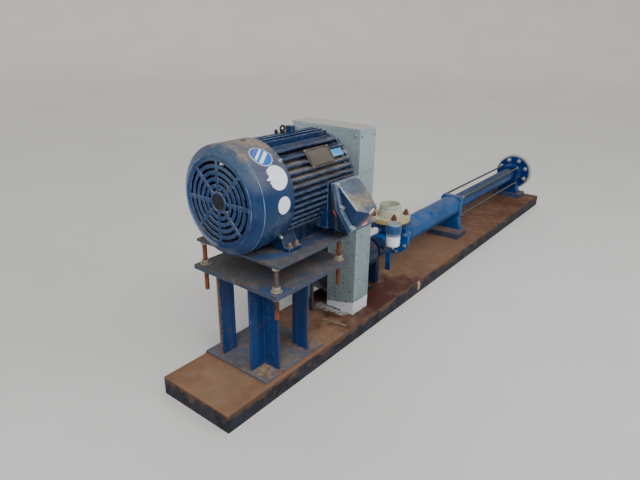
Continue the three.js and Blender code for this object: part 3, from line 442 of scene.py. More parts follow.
MATERIALS = {
    "deck": rusty(
        "deck_rust_plate", "6c4a37 7d563e 58402f", stain=(-0.7, -0.02, 0.46, "41261e 542f24"),
        dust=0.42, dusty="987b62", far="50301f", blots=(
            ((-0.924, -0.05, DECK), (-0.938, 0.06, DECK), 0.05, "soft", "a9a9a8 7c7470"),
            ((-1.041, -0.03, DECK), (-1.024, -0.15, DECK), 0.005, "soft", "9c8a7c 80705f"))),
    "rail": rusty(
        "rail_rust_paint", "4f3a2d 60483a 3b2e28", low="232732 1c1e26", dust=0.5,
        dusty="8d7660", far="33241d", blots=(
            ((-0.365, -0.186, 0.078), (-0.355, -0.186, 0.04), 0.02, "soft", "9a8468 b5a184"),)),
    "pad": painted("pad_paint", "33425f 2a3852 5a5148", 0.6, 0.6, "7c6450", 0.9, 0.45, bare="7c6450"),
    "stand": painted(
        "stand_blue", "143a70 102f5d 2a4e7e", 0.48, 0.5, "6b5a50", 0.85, 0.46, runs=0.3, blots=(
            ((-1.576, 0.102, 0.1), (-1.576, 0.102, 0.47), 0.01, "chip", "7c6653 6a5140"),)),
    "plate": painted(
        "plate_grey_blue", "303d55 3b4352 54596a", 0.5, 0.62, "6a635c", 0.98, 0.56, bare="6e5c4e",
        blots=(
            ((-1.56, -0.12, 0.602), (-1.48, -0.165, 0.602), 0.04, "film", OLD_BLUE),
            ((-1.33, -0.165, 0.602), (-1.2, -0.15, 0.602), 0.045, "film", "2c3a55 38455e"),
            ((-1.6, -0.19, 0.495), (-1.56, -0.215, 0.495), 0.05, "film", OLD_BLUE))),
    "base": painted(
        "base_plate_paint", "34465f 3f4c64 555f70", 0.6, 0.62, "756b61", 0.95, 0.6, bare="6a5848",
        blots=(
            ((-1.54, -0.12, 0.09), (-1.5, -0.1, 0.09), 0.065, "film", DIRT),
            ((-1.26, -0.12, 0.09), (-1.15, -0.06, 0.09), 0.11, "film", DIRT))),
    "rod": rusty(
        "rod_rust", "6e3f2a 8a5236 4a2a1e", 0.3, 0.66, blots=(
            ((-1.63, -0.215, 0.53), (-1.63, -0.215, 0.7), 0.1, "soft", "4b4440 5d5048"),)),
    # Motor: its pale bare edges are rubbed paint and also a painted highlight on the fins' lit edges.
    "motor": painted(
        "motor_navy", "143056 102547 294a72", 0.26, 0.78, "8c8478", 0.8, 0.05, bare="8499b0",
        between=(0.845, 0.935), blots=[
            # Pale silvery chips on the drive end's rim: bare metal, and painted glints as well.
            (around_motor(-1.094, 0.194, a), around_motor(-1.094, 0.194, b), 0.006, "chip",
             "b4b8ba 8e949a") for a, b in ((108, 116), (124, 132), (138, 146))]),
    "cowl": painted(
        "cowl_navy", "153a68 113158 264f79", 0.26, 0.6, "857c72", 0.55, 0.02, bare="7f8fa6",
        # Painted highlights round the cowl's shoulder and its front rim.
        runs=0.35, even=0.7, highlight_lines=((-1.616, 0.0022, "8496aa"), (-1.6452, 0.0012, "6f86a2")), blots=(
            # A lighter patch on the upper front ring: painted light from above.
            (around_motor(-1.65, 0.19, 62), around_motor(-1.65, 0.19, 128), 0.07, "soft",
             "43576d 374d65"),
            # A darker patch on the lower front ring: painted shade.
            (around_motor(-1.648, 0.185, 200), around_motor(-1.648, 0.185, 262), 0.05, "soft",
             "0b2c58 0a274e"),
            (around_motor(-1.6, 0.2, 78), around_motor(-1.606, 0.2, 124), 0.026, "film", SILT),
            (around_motor(-1.575, 0.2, 70), around_motor(-1.5, 0.2, 100), 0.06, "film", SILT))),
    "conduit": painted(
        "conduit_cover", "0c2a50 0a2342 1e3f68", 0.18, 0.56, "7c8690", 0.15, 0.0, bare="8ea2ba",
        runs=0.05, even=0.6, shine=0.36, blots=(
            ((-1.215, -0.3, 0.768), (-1.12, -0.31, 0.766), 0.05, "film", "827a6c 6c665b"),
            # A thin light line down the crown's left edge: painted highlight.
            ((-1.236, -0.24, 0.826), (-1.226, -0.318, 0.74), 0.0048, "soft", "8fa0b2 7f92a8"),
            ((-1.183, -0.32, 0.669), (-1.156, -0.33, 0.69), 0.0175, "scrape", CHIP_RED),
            ((-1.178, -0.318, 0.667), (-1.164, -0.323, 0.673), 0.0085, "scrape", PALE_CHIP_AND_HIGHLIGHT),
            ((-1.164, -0.339, 0.706), (-1.136, -0.339, 0.714), 0.0105, "scrape", CHIP_BROWN),
            # A pale line along the nose's top edge: painted highlight.
            ((-1.178, -0.348, 0.724), (-1.148, -0.346, 0.731), 0.0065, "scrape", PALE_CHIP_AND_HIGHLIGHT))),
    # Conduit flange: a lighter copy of the cover's navy with pale edges; dust and bare paint, and painted
    # highlights on its lit strips.
    "flange": painted(
        "conduit_flange", "26405f 304663 50627c", 0.22, 0.62, "9aa2aa", 0.9, 0.0, bare="b4bfca",
        runs=0.35, even=0.6, shine=0.5),
    # Conduit base: a darker copy of the motor's navy, painted shade where it sits tucked under the cover,
    # with dust on top.
    "box": painted(
        "conduit_base_painted_shade", "10223c 0d1c33 24384f", 0.42, 0.75, "8f887c", 0.5, 0.1, blots=(
            ((-1.256, -0.226, 0.722), (-1.256, -0.236, 0.7), 0.008, "chip", CHIP_RED),)),
    "dark": metal("dark_steel", "26282c 34363a 5a4a40", (0.4, 0.7), 0.6, dust=0.5),
    "fan": painted("fan_navy", "1a2f50 223a5c 3a4a60", 0.5, 0.6, "6f675e", 0.3, 0.1),
    "machined": metal("machined_steel", "a9adb0 8a8f94 6a5a4c", (0.22, 0.42), 0.95),
    "tie": metal("tie_rod_steel", "5c574f 4b4740 40372f", (0.5, 0.7), 0.35),
    "zinc": metal("zinc_plated", "b9bfc0 9a9f9e 6f6455", (0.28, 0.5), 0.75, 2.0, 0.25),
    "old_zinc": metal("weathered_zinc", "a59d8c 8a8070 5f5141", (0.4, 0.6), 0.5, 2.5, 0.3),
    "rust_bolt": metal("rusty_fastener", "704632 523226 8d6a54", (0.6, 0.85), 0.25, 3.0, 0.2, 0.5),
    "dull_bolt": metal("dull_fastener", "8a7468 6a564c a89c90", (0.45, 0.7), 0.4, 3.0, 0.3),
    "guard": galvanised(),
    "belt": plain("belt_rubber", "17181a 202124", 0.6),
    "pump": painted(
        "pump_blue", "0b4a84 083f72 2a6594", 0.32, 0.32, "70737a", 0.4, 0.3, "4a4650 6a6268",
        "4f7ba8", shine=0.16),
    "stator": painted(
        "stator_blue", "113c6c 0d325a 285076", 0.36, 0.62, "48515e", 0.4, 0.45, "4a4048 6a564e",
        "4a749c", shine=0.14),
    "end": painted(
        "end_blue", "082e74 06255c 15407a", 0.3, 0.12, "44546a", 0.3, 0.1, bare="2c62a0",
        runs=0.08, shine=0.12),
    # Casing: a darker, dirtier copy of the pump's blue; oily dirt, and painted shade under the inlet and
    # behind the guard. Its joint flange keeps a bright blue.
    "shade": painted(
        "casing_dark_blue", "0f2748 0b1e3a 1c3654", 0.34, 0.34, "4a4038", 0.6, 0.42,
        blots=((JOINT, JOINT, 0.21, "soft", "1158a2 0e4c90"),)),
    "cream": cream(),
    "cap": plain("cap_blue_plastic", "1b4c80 163f6a", 0.34, 60, 0.1, 0.3),
    "rim": plain("cap_rim_plastic", "7c8a94 6a7a88", 0.4, 60, 0.1, 0.4),
    "white": plain("white_plastic", "eceef4 e0e3ea", 0.38, 24, 0.1, 0.12),
    "paper": plain("sticker_paper", "eeeff4 e2e5ea", 0.45, 45, 0.2, 0.15),
    "blue_sticker": blue_sticker(),
    "nameplate": painted(
        "nameplate_metal", "59544d 4c4741 726b5c", 0.45, 0.5, "6c665b", 0.9, 0.35),
    "cyan": plain("patch_blue", "2f8cc4 5aaad8", 0.35, 30, 0.1, 0.2),
    # Painted shade: a dark finish put where holes, slots and sockets are.
    "recess_shade": plain("recess_painted_shade", "0b0b0c 121214", 0.8, 30, 0.2, 0.1),
    "gasket": plain("gasket_fibre", "3c3a36 4a443c", 0.85, 50, 0.3, 0.3),
}


# Mesh building

class Shape:
    """Points and faces gathered for one piece."""

    def __init__(self):
        self.points = []
        self.faces = []

    def add(self, points, faces):
        start = len(self.points)
        self.points.extend(points)
        self.faces.extend([start + i for i in face] for face in faces)

    def grid(self, rows, closed=False, caps=False):
        """Quads over rings of points. Closed joins the last ring to the first; caps fill the end rings."""
        wide, tall = len(rows[0]), len(rows)
        faces = []
        for i in range(tall if closed else tall - 1):
            for j in range(wide):
                a, b, k = i * wide, (i + 1) % tall * wide, (j + 1) % wide
                faces.append([a + j, a + k, b + k, b + j])
        if caps:
            faces.append(list(range(wide))[::-1])
            faces.append([(tall - 1) * wide + j for j in range(wide)])
        self.add([p for row in rows for p in row], faces)

    def lathe(self, centre, way, profile, segments=48, closed=False):
        """A profile of (height, radius) turned about an axis; closed joins the last point to the first."""
        rows = [circle(centre + way * height, way, radius, segments) for height, radius in profile]
        self.grid(rows, closed, not closed)

    def slab(self, centre, axes, halves, chamfer=0.0):
        """A box on three axes, its far face narrowed by a chamfer."""
        a, b, c = axes
        wide, deep, tall = halves
        rows = []
        for level, shrink in ((-1, 0), (1 - chamfer / tall, 0), (1, chamfer)):
            rows.append([centre + a * i * (wide - shrink) + b * j * (deep - shrink) + c * level * tall
                         for i, j in ((-1, -1), (1, -1), (1, 1), (-1, 1))])
        self.grid(rows, False, True)

    def head(self, centre, way, flats, height):
        """A chamfered hexagon: the head of a bolt, or a nut."""
        rim = flats / 2 * 0.97
        rows = [[], [], []]
        for t in turns(36):
            reach = flats / 2 / cos((t + pi / 6) % (pi / 3) - pi / 6)
            out = outward(way, t)
            fall = max(0.0, reach - rim) * 0.577
            rows[0].append(centre + out * reach)
            rows[1].append(centre + out * reach + way * (height - fall))
            rows[2].append(centre + out * rim + way * height)
        self.grid(rows, False, True)

    def bolt(self, centre, way, flats, height, washer=0.0, stud=0.0):
        """A hexagon head on a washer, with the end of a stud where it is a nut."""
        base = centre - way * 0.0002
        if washer:
            self.lathe(base, way, ((0, washer), (0.0016, washer), (0.0022, washer - 0.0007)), 28)
            base = base + way * 0.0021
        self.head(base, way, flats, height)
        if stud:
            radius, step = flats * 0.31, 0.0012
            rings = [(height - 0.001, radius)]
            rings += [(height + step * i, radius - 0.0005 * (i % 2)) for i in range(int(stud / step))]
            rings.append((height + stud, radius - 0.0014))
            self.lathe(base, way, rings, 20)

    def bolt_ring(self, centre, axis, radius, count, way, *sizes, start=0.5):
        """Bolts evenly spaced on a circle about an axis, all pointing one way."""
        for spot in circle(centre, axis, radius, count, start):
            self.bolt(spot, way, *sizes)

    def tube(self, path, radius, sides=10, closed=False, ripple=0.0):
        """A round bar along a path, or a weld bead where it has a ripple."""
        rows, travelled, wave = [], 0.0, 0.0045
        count = len(path)
        for i, p in enumerate(path):
            before = path[i - 1] if i or closed else p
            after = path[(i + 1) % count] if i < count - 1 or closed else p
            if i:
                travelled += (p - path[i - 1]).length
            r = radius * (1 + ripple * sin(2 * pi * travelled / wave)
                          + ripple * 0.7 * sin(2 * pi * travelled / (wave * 5.3)))
            rows.append(circle(p, (after - before).normalized(), r, sides))
        self.grid(rows, closed, not closed)

    def bead(self, corners, radius, closed=False):
        """A weld bead along straight runs between corners."""
        path = []
        for a, b in zip(corners, corners[1:] + (corners[:1] if closed else [])):
            steps = max(2, int((b - a).length / 0.0015))
            path.extend(a.lerp(b, i / steps) for i in range(steps))
        if not closed:
            path.append(corners[-1])
        self.tube(path, radius, 8, closed, 0.22)

    def thread(self, centre, way, length, radius, pitch=0.0025, depth=0.0013, sides=20):
        """A threaded bar: each ring's radius follows the screw line, which fades at both ends."""
        steps = int(length / pitch * 5)
        ways = [outward(way, t) for t in turns(sides)]
        rows = []
        for i in range(steps + 1):
            height = length * i / steps
            fade = min(1.0, height / 0.002, (length - height) / 0.002)
            row = []
            for j, out in enumerate(ways):
                phase = (height / pitch - j / sides) % 1.0
                r = radius - depth * (1 - 2 * abs(phase - 0.5) * fade)
                row.append(centre + way * height + out * r)
            rows.append(row)
        self.grid(rows, False, True)

    def hull(self, points, ease, segments):
        """The convex hull of some points, its edges rounded."""
        work = bmesh.new()
        for p in points:
            work.verts.new(p)
        bmesh.ops.convex_hull(work, input=work.verts[:])
        bmesh.ops.delete(work, geom=[v for v in work.verts if not v.link_faces], context="VERTS")
        bmesh.ops.dissolve_limit(work, angle_limit=0.02, verts=work.verts[:], edges=work.edges[:])
        bmesh.ops.bevel(work, geom=work.edges[:], offset=ease, segments=segments, profile=0.5,
                        affect="EDGES", clamp_overlap=True)
        work.verts.index_update()
        self.add([v.co.copy() for v in work.verts], [[v.index for v in face.verts] for face in work.faces])
        work.free()

    def mesh(self, name):
        made = bpy.data.meshes.new(name)
        made.from_pydata([tuple(p) for p in self.points], [], self.faces)
        return made

    def make(self, name, material, slot, angle=38.0):
        """Turns the gathered faces into a piece that rides on the frame."""
        mesh = self.mesh(name)
        work = bmesh.new()
        work.from_mesh(mesh)
        bmesh.ops.remove_doubles(work, verts=work.verts, dist=1e-6)
        bmesh.ops.dissolve_degenerate(work, edges=work.edges, dist=1e-7)
        bmesh.ops.recalc_face_normals(work, faces=work.faces)
        work.to_mesh(mesh)
        work.free()
        mesh.shade_smooth()
        mesh.set_sharp_from_angle(angle=radians(angle))
        mesh.materials.append(MATERIALS[material])
        piece = show(name, mesh)
        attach(piece, "root")
        return piece


def shapes(count):
    return [Shape() for _ in range(count)]


# CAD nodes: welded, eased edges and smooth shading on their round faces, each with its finish

def shading_group():
    """Smooth faces, with the edges sharper than an angle left sharp."""
    group = bpy.data.node_groups.new("shade_by_angle", "GeometryNodeTree")
    for way in ("INPUT", "OUTPUT"):
        group.interface.new_socket("Geometry", in_out=way, socket_type="NodeSocketGeometry")
    start, end, faces, edges, angle, compare = [group.nodes.new(kind) for kind in (
        "NodeGroupInput", "NodeGroupOutput", "GeometryNodeSetShadeSmooth", "GeometryNodeSetShadeSmooth",
        "GeometryNodeInputMeshEdgeAngle", "ShaderNodeMath")]
    faces.domain, edges.domain = "FACE", "EDGE"
    faces.inputs["Shade Smooth"].default_value = True
    edges.inputs["Shade Smooth"].default_value = False
    compare.operation = "GREATER_THAN"
    compare.inputs[1].default_value = radians(40)
    link = group.links.new
    link(start.outputs[0], faces.inputs["Geometry"])
    link(faces.outputs[0], edges.inputs["Geometry"])
    link(angle.outputs["Unsigned Angle"], compare.inputs[0])
    link(compare.outputs[0], edges.inputs["Selection"])
    link(edges.outputs[0], end.inputs[0])
    return group


SHADING = shading_group()
# For each finish: the width that edges are eased by, and the nodes' names or patterns
FINISHES = {
    "rail": (0.002, "skid_*"),
    "deck": (0.0015, "deck_plate"),
    "plate": (0.0015, "stand_top_plate motor_plate guard_stay"),
    "base": (0.0015, "stand_base_plate"),
    "stand": (0.0015, "stand_leg_*"),
    "motor": (0.0015, "motor_frame motor_foot_* motor_drive_end_bracket"),
    "box": (0.003, "conduit_box_base"),
    "machined": (0.0008, "*_shaft rotor"),
    "dark": (0.0008, "*_sheave connecting_rod gland"),
    "fan": (0.0008, "fan"),
    "guard": (0.0012, "belt_guard"),
    "belt": (0.001, "drive_belts"),
    "pump": (0.0015, "casing_tube mid_support"),
    "stator": (0.0015, "stator_tube"),
    "shade": (0.0015, "suction_casing bearing_housing"),
    "end": (0.0015, "end_casting"),
    "cream": (0.0015, "*_companion_flange"),
    "pad": (0.002, "*_support_pad"),
    "tie": (0, "tie_rod_*"),
}


def dress_nodes():
    """Gives the CAD nodes their finish. Only modifiers are added: their own meshes stay as they are."""
    for material, (ease, names) in FINISHES.items():
        for name in [found for pattern in names.split() for found in matching(frame["nodes"], pattern)]:
            node = frame["nodes"][name]
            node.data.materials.clear()
            node.data.materials.append(MATERIALS[material])
            new = node.modifiers.new
            set_up(new("weld", "WELD"), merge_threshold=1e-5)
            set_up(new("flat", "DECIMATE"), decimate_type="DISSOLVE", angle_limit=radians(0.4))
            if ease:
                set_up(new("ease", "BEVEL"), width=ease, segments=2, limit_method="ANGLE",
                       angle_limit=radians(28))
            set_up(new("smooth", "NODES"), node_group=SHADING)
            set_up(new("weighted", "WEIGHTED_NORMAL"), keep_sharp=True)


# Motor stand

def jack_rods():
    """Threaded bars with nuts and washers on both faces of the top plate, and a nut at each upper end."""
    plate_top, plate_bottom = 0.495, 0.476
    rods, nuts = shapes(2)
    names = [f"jack_rod_{number}" for number in range(1, 5)]
    for name in names:
        low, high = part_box(name)
        x, y = (low.x + high.x) / 2, (low.y + high.y) / 2
        rods.thread(at(x, y, low.z), Z, high.z - low.z - 0.0005, 0.0094)
        for height, way in ((plate_top, Z), (plate_bottom, -Z)):
            seat = at(x, y, height)
            nuts.lathe(seat, way, ((0, 0.0225), (0.0022, 0.0225), (0.0028, 0.0218)), 32)
            nuts.head(seat + way * 0.0029, way, 0.029, 0.015)
        nuts.head(at(x, y, high.z - 0.0002), -Z, 0.027, 0.01)
    piece = rods.make("jack_rod_threads", "rod", "rod_rust")
    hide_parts(*names)
    nuts.make("jack_rod_nuts", "old_zinc", "bright_steel")


def stand_welds():
    """Beads at both ends of the legs, round the base plate and the pads, and along the deck's sides."""
    legs = Shape()
    low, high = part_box("stand_base_plate")
    for number in range(1, 5):
        a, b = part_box(f"stand_leg_{number}")
        heel_x, toe_x = (b.x, a.x) if number in (1, 2) else (a.x, b.x)
        heel_y, toe_y = (b.y, a.y) if number in (1, 3) else (a.y, b.y)
        for z in (high.z, b.z):
            legs.bead([at(toe_x, heel_y, z), at(heel_x, heel_y, z), at(heel_x, toe_y, z)], 0.0028)
    legs.make("stand_leg_welds", "stand", "stand_paint")

    deck = Shape()
    deck.bead(rectangle(low.x, high.x, low.y, high.y - 0.001, low.z), 0.0035, True)
    for pad in ("mid_support_pad", "end_support_pad"):
        a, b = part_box(pad)
        deck.bead(rectangle(a.x, b.x, a.y, b.y, DECK), 0.003, True)
    a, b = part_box("deck_plate")
    for y in (a.y + 0.008, b.y - 0.008):
        deck.bead([at(a.x + 0.01, y, DECK - 0.001), at(b.x - 0.01, y, DECK - 0.001)], 0.0026)
    deck.make("deck_welds", "deck", "deck_rust")


# Motor

def cowl():
    """The fan cowl: a spun shell, round bars with slots between them, spokes, a hub and its screws."""
    axis = at(0, MOTOR_Y, MOTOR_Z)
    shell = Shape()
    shell.lathe(axis, X, (
        (-1.637, 0.1475), (-1.64, 0.1475), (-1.6412, 0.149), (-1.6412, 0.1615), (-1.644, 0.1632),
        (-1.6452, 0.1655), (-1.6448, 0.1682), (-1.6438, 0.17), (-1.641, 0.1745), (-1.625, 0.196),
        (-1.6212, 0.2004), (-1.618, 0.2022), (-1.614, COWL_RADIUS), (-1.465, COWL_RADIUS),
        (-1.4632, 0.2022), (-1.4632, 0.2004), (-1.465, 0.2), (-1.616, 0.2), (-1.62, 0.1975),
        (-1.638, 0.174), (-1.637, 0.164)), 128, True)
    side = [(-1.6372, -1), (-1.64, -1), (-1.6413, -0.72), (-1.6419, -0.3)]
    bar, half = side + [(x, -share) for x, share in side[::-1]], 0.0066
    for radius in COWL_BARS:
        shell.lathe(axis, X, [(x, radius + half * share) for x, share in bar], 112, True)
    shell.lathe(axis, X, ((-1.6372, 0.029), (-1.6425, 0.031), (-1.6438, 0.0335), (-1.6435, 0.0375),
                          (-1.641, 0.0402), (-1.6372, 0.0405)), 72, True)
    for t in turns(8):
        out = outward(X, t)
        shell.slab(motor_place(-1.6396) + out * 0.096, (out, X.cross(out), -X), (0.059, 0.0068, 0.0027),
                   0.001)
    piece = shell.make("fan_cowl_dressed", "cowl", "motor_navy", 34)
    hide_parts("fan_cowl")

    dots = Shape()
    for degrees in (0, 45, 135, 180, 225, 315):
        for radius in (*COWL_BARS, 0.151):
            dots.lathe(around_motor(-1.6421, radius, degrees), -X,
                       ((-0.0004, 0.0026), (0.0004, 0.0022), (0.0009, 0.0012), (0.001, 0.0004)), 12)
    dots.make("cowl_spoke_welds", "cowl", "motor_navy")
    disc = Shape()
    disc.lathe(axis, X, ((-1.6372, 0.03), (-1.6388, 0.03), (-1.6402, 0.024), (-1.641, 0.012),
                         (-1.6412, 0.001)))
    disc.make("cowl_hub_disc", "dark", "dark_steel")
    screws = Shape()
    for degrees in (45, 135, 225, 315):
        spot = around_motor(-1.4735, 0.2028, degrees)
        screws.bolt(spot, (spot - motor_place(spot.x)).normalized(), 0.01, 0.0055, 0.0085)
    screws.make("cowl_screws", "zinc", "bright_steel")


def cowl_patch(name, material, x, degrees, half_x, half_turn, bites=(), lift=0.0005):
    """A thin disc that lies on the cowl's side. Each bite is an angle, a width and how deep it cuts."""
    shape = Shape()
    rings, rows = 8, []
    for ring in range(rings + 1):
        row = []
        for t in turns(96):
            rim = 1.0 - sum(depth * exp(-((t - angle) / width) ** 2) for angle, width, depth in bites)
            share = ring / rings * rim
            a, b = cos(t) * share, sin(t) * share
            row.append(around_motor(x + half_x * a, COWL_RADIUS + lift, degrees + half_turn * b))
        rows.append(row)
    shape.grid(rows)
    shape.grid([[p + (motor_place(p.x) - p).normalized() * depth for p in rows[-1]]
                for depth in (0, lift + 0.0004)])
    return shape.make(name, material, "pale_cream")


def cowl_patches():
    """Bare stickers on the cowl, one of them torn, and a small slot drawn as a thin dark slab of painted
    shade.
    """
    cowl_patch("sticker_blue_rim", "paper", *BLUE_STICKER, 0.044, 12.3)
    cowl_patch("sticker_blue", "blue_sticker", *BLUE_STICKER, 0.0415, 11.6, lift=0.0009)
    torn = ((3.44, 0.17, 0.19), (3.14, 0.055, -0.2), (2.94, 0.07, 0.24), (2.68, 0.08, 0.1),
            (3.9, 0.09, -0.05), (2.36, 0.06, 0.04), (0.8, 0.05, 0.02), (5.2, 0.04, 0.03))
    cowl_patch("sticker_torn", "paper", -1.525, 150.8, 0.0455, 12.8, torn)
    cowl_patch("sticker_white", "paper", -1.5195, 179.4, 0.0305, 8.9, ((4.4, 0.05, 0.03),))
    slot = Shape()
    slot.slab(around_motor(-1.516, 0.2031, 92), (X, Y, Z), (0.011, 0.0055, 0.0004))
    slot.make("cowl_slot", "recess_shade", "dark_steel")


def nameplate():
    """A bare plate with a raised border and rivets, on two studs, and the bare blue patch beside it."""
    out, up = at(0, -0.7754, 0.6315), at(0, 0.6315, 0.7754)
    axes = (X, up, out)
    centre = motor_place(-1.257) + out * 0.1975
    plate, border, rivets, patch = shapes(4)
    plate.slab(centre, axes, (0.073, 0.0395, 0.0012), 0.0006)
    plate.make("bare_nameplate", "nameplate", "plate_grey")
    for a, b, wide, tall in ((0, 0.0335, 0.0685, 0.0022), (0, -0.0335, 0.0685, 0.0022),
                             (0.0663, 0, 0.0022, 0.0313), (-0.0663, 0, 0.0022, 0.0313)):
        border.slab(centre + X * a + up * b + out * 0.0016, axes, (wide, tall, 0.0005), 0.0003)
    border.make("nameplate_border", "dark", "plate_grey")
    for a in (-0.068, 0.068):
        for b in (-0.035, 0.035):
            rivets.lathe(centre + X * a + up * b + out * 0.0012, out,
                         ((0, 0.0032), (0.0012, 0.0028), (0.0019, 0.0014), (0.002, 0.0003)), 14)
    for a in (-0.06, 0.06):
        rivets.lathe(centre + X * a - out * 0.018, out, ((0, 0.005), (0.018, 0.005)), 14)
    rivets.make("nameplate_rivets", "machined", "bright_steel")
    patch.slab(motor_place(-1.1535) + out * 0.1972 - up * 0.001, axes, (0.0375, 0.0155, 0.0006), 0.0003)
    patch.make("blue_patch", "cyan", "pump_blue")


def motor_fasteners():
    """The lifting eye and the bolt beside it, the foot bolts, and the drive end's bolts and ribs."""
    eye, feet, rim, ribs = shapes(4)
    for x, y, size in ((-1.286, 0.004, 0.012), (-1.305, 0.02, 0.009)):
        base = at(x, y, MOTOR_Z + 0.19)
        eye.thread(base, Z, 0.02, 0.006, 0.0018, 0.0009, 16)
        eye.head(base + Z * 0.008, Z, size * 1.5, size * 0.7)
    ring = [at(-1.286 + 0.012 * cos(t), 0.004, MOTOR_Z + 0.214 + 0.01 * sin(t)) for t in turns(28)]
    eye.tube(ring, 0.0042, 10, True)
    eye.make("lifting_eye_rusty", "dark", "rod_rust")
    for x in (-1.442, -1.404, -1.137):
        for level in (-0.159, 0.159):
            feet.bolt(at(x, MOTOR_Y + level, 0.618), Z, 0.017, 0.01, 0.0125, 0.007)
    feet.make("motor_foot_bolts", "dull_bolt", "rod_rust")
    rim.bolt_ring(motor_place(-1.0668), X, 0.172, 8, X, 0.013, 0.008)
    rim.make("bracket_bolts", "zinc", "bright_steel")
    for t in turns(8):
        out = outward(X, t)
        start, end = motor_place(-1.052) + out * 0.15, motor_place(-1.03) + out * 0.095
        way, across = (end - start).normalized(), X.cross(out)
        ribs.slab((start + end) / 2, (way, across, way.cross(across)), (0.032, 0.005, 0.01), 0.002)
    ribs.make("bracket_ribs", "motor", "motor_navy")


# Corners of the conduit cover's crown, before its edges are rounded
CONDUIT_CROWN = (
    (-1.24, -0.229, 0.829), (-1.102, -0.229, 0.829), (-1.238, -0.255, 0.743), (-1.102, -0.255, 0.743),
    (-1.236, -0.311, 0.671), (-1.156, -0.318, 0.662), (-1.239, -0.235, 0.831), (-1.102, -0.236, 0.833),
    (-1.102, -0.281, 0.789), (-1.23, -0.321, 0.739), (-1.186, -0.349, 0.725), (-1.122, -0.346, 0.734))


def seam_band(shape, low, high, corner):
    """A band that follows the seam, from one distance off it to another, its outer corners rounded."""
    near, far = CONDUIT_X
    _, upper = seam_axes(0.0)
    _, lower = seam_axes(SEAM_UPPER + 0.01)
    turn = (upper + lower) / (1 + upper.dot(lower))
    section = [(near, low), (near, high - corner)]
    section += [(near + corner * (1 - cos(t)), high - corner * (1 - sin(t)))
                for t in (0.4, 0.8, 1.2, 1.57)]
    section += [(near + far - x, out) for x, out in section[::-1]]
    end, slight = SEAM_UPPER + SEAM_LOWER, corner * 0.3
    rows = []
    for down, shrink in ((0.0, corner), (slight, slight), (corner, 0.0), (SEAM_UPPER, 0.0),
                         (end - corner, 0.0), (end - slight, slight), (end, corner)):
        start, off = (SEAM[1], turn) if down == SEAM_UPPER else (on_seam(0.0, down), seam_axes(down)[1])
        rows.append([X * x + start + off * min(out, high - shrink) for x, out in section])
    shape.grid(rows, False, True)


def conduit_box():
    """A rounded cast cover on a bent flange, with six socket screws and a gasket."""
    near, far = CONDUIT_X
    inset = 0.012
    cover, crown, gasket, screws, sockets = shapes(5)
    seam_band(cover, 0.0012, CONDUIT_FLANGE, 0.0035)
    crown.hull([Vector(corner) for corner in CONDUIT_CROWN], 0.009, 7)
    for x in (near + inset, far - inset):
        for down in (inset, SEAM_UPPER - 0.006, SEAM_UPPER + SEAM_LOWER - inset):
            _, off = seam_axes(down)
            base = on_seam(x, down, CONDUIT_FLANGE - 0.006)
            cover.lathe(base, off, ((0, 0.0118), (0.0085, 0.0116), (0.01, 0.01)), 32)
            seat = base + off * 0.01
            screws.lathe(seat, off, ((-0.001, 0.0092), (0.0016, 0.0092), (0.0022, 0.0084), (0.0022, 0.0074),
                                     (0.0066, 0.007), (0.0074, 0.0062), (0.0074, 0.0034), (0.004, 0.003),
                                     (0.0038, 0.0003)), 28)
            # The screws' sockets are thin dark hexagons: painted shade.
            sockets.lathe(seat + off * 0.0039, off, ((0, 0.003), (0.0004, 0.0029), (0.0005, 0.0003)), 6)
    piece = crown.make("conduit_cover_dressed", "conduit", "motor_navy", 50)
    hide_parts("conduit_box_cover")
    cover.make("conduit_cover_flange", "flange", "motor_navy", 50)
    screws.make("conduit_screws", "zinc", "bright_steel")
    sockets.make("conduit_screw_sockets", "recess_shade", "dark_steel")
    seam_band(gasket, -0.0002, 0.0014, 0.0001)
    gasket.make("conduit_gasket", "gasket", "belt_rubber")


# Guard

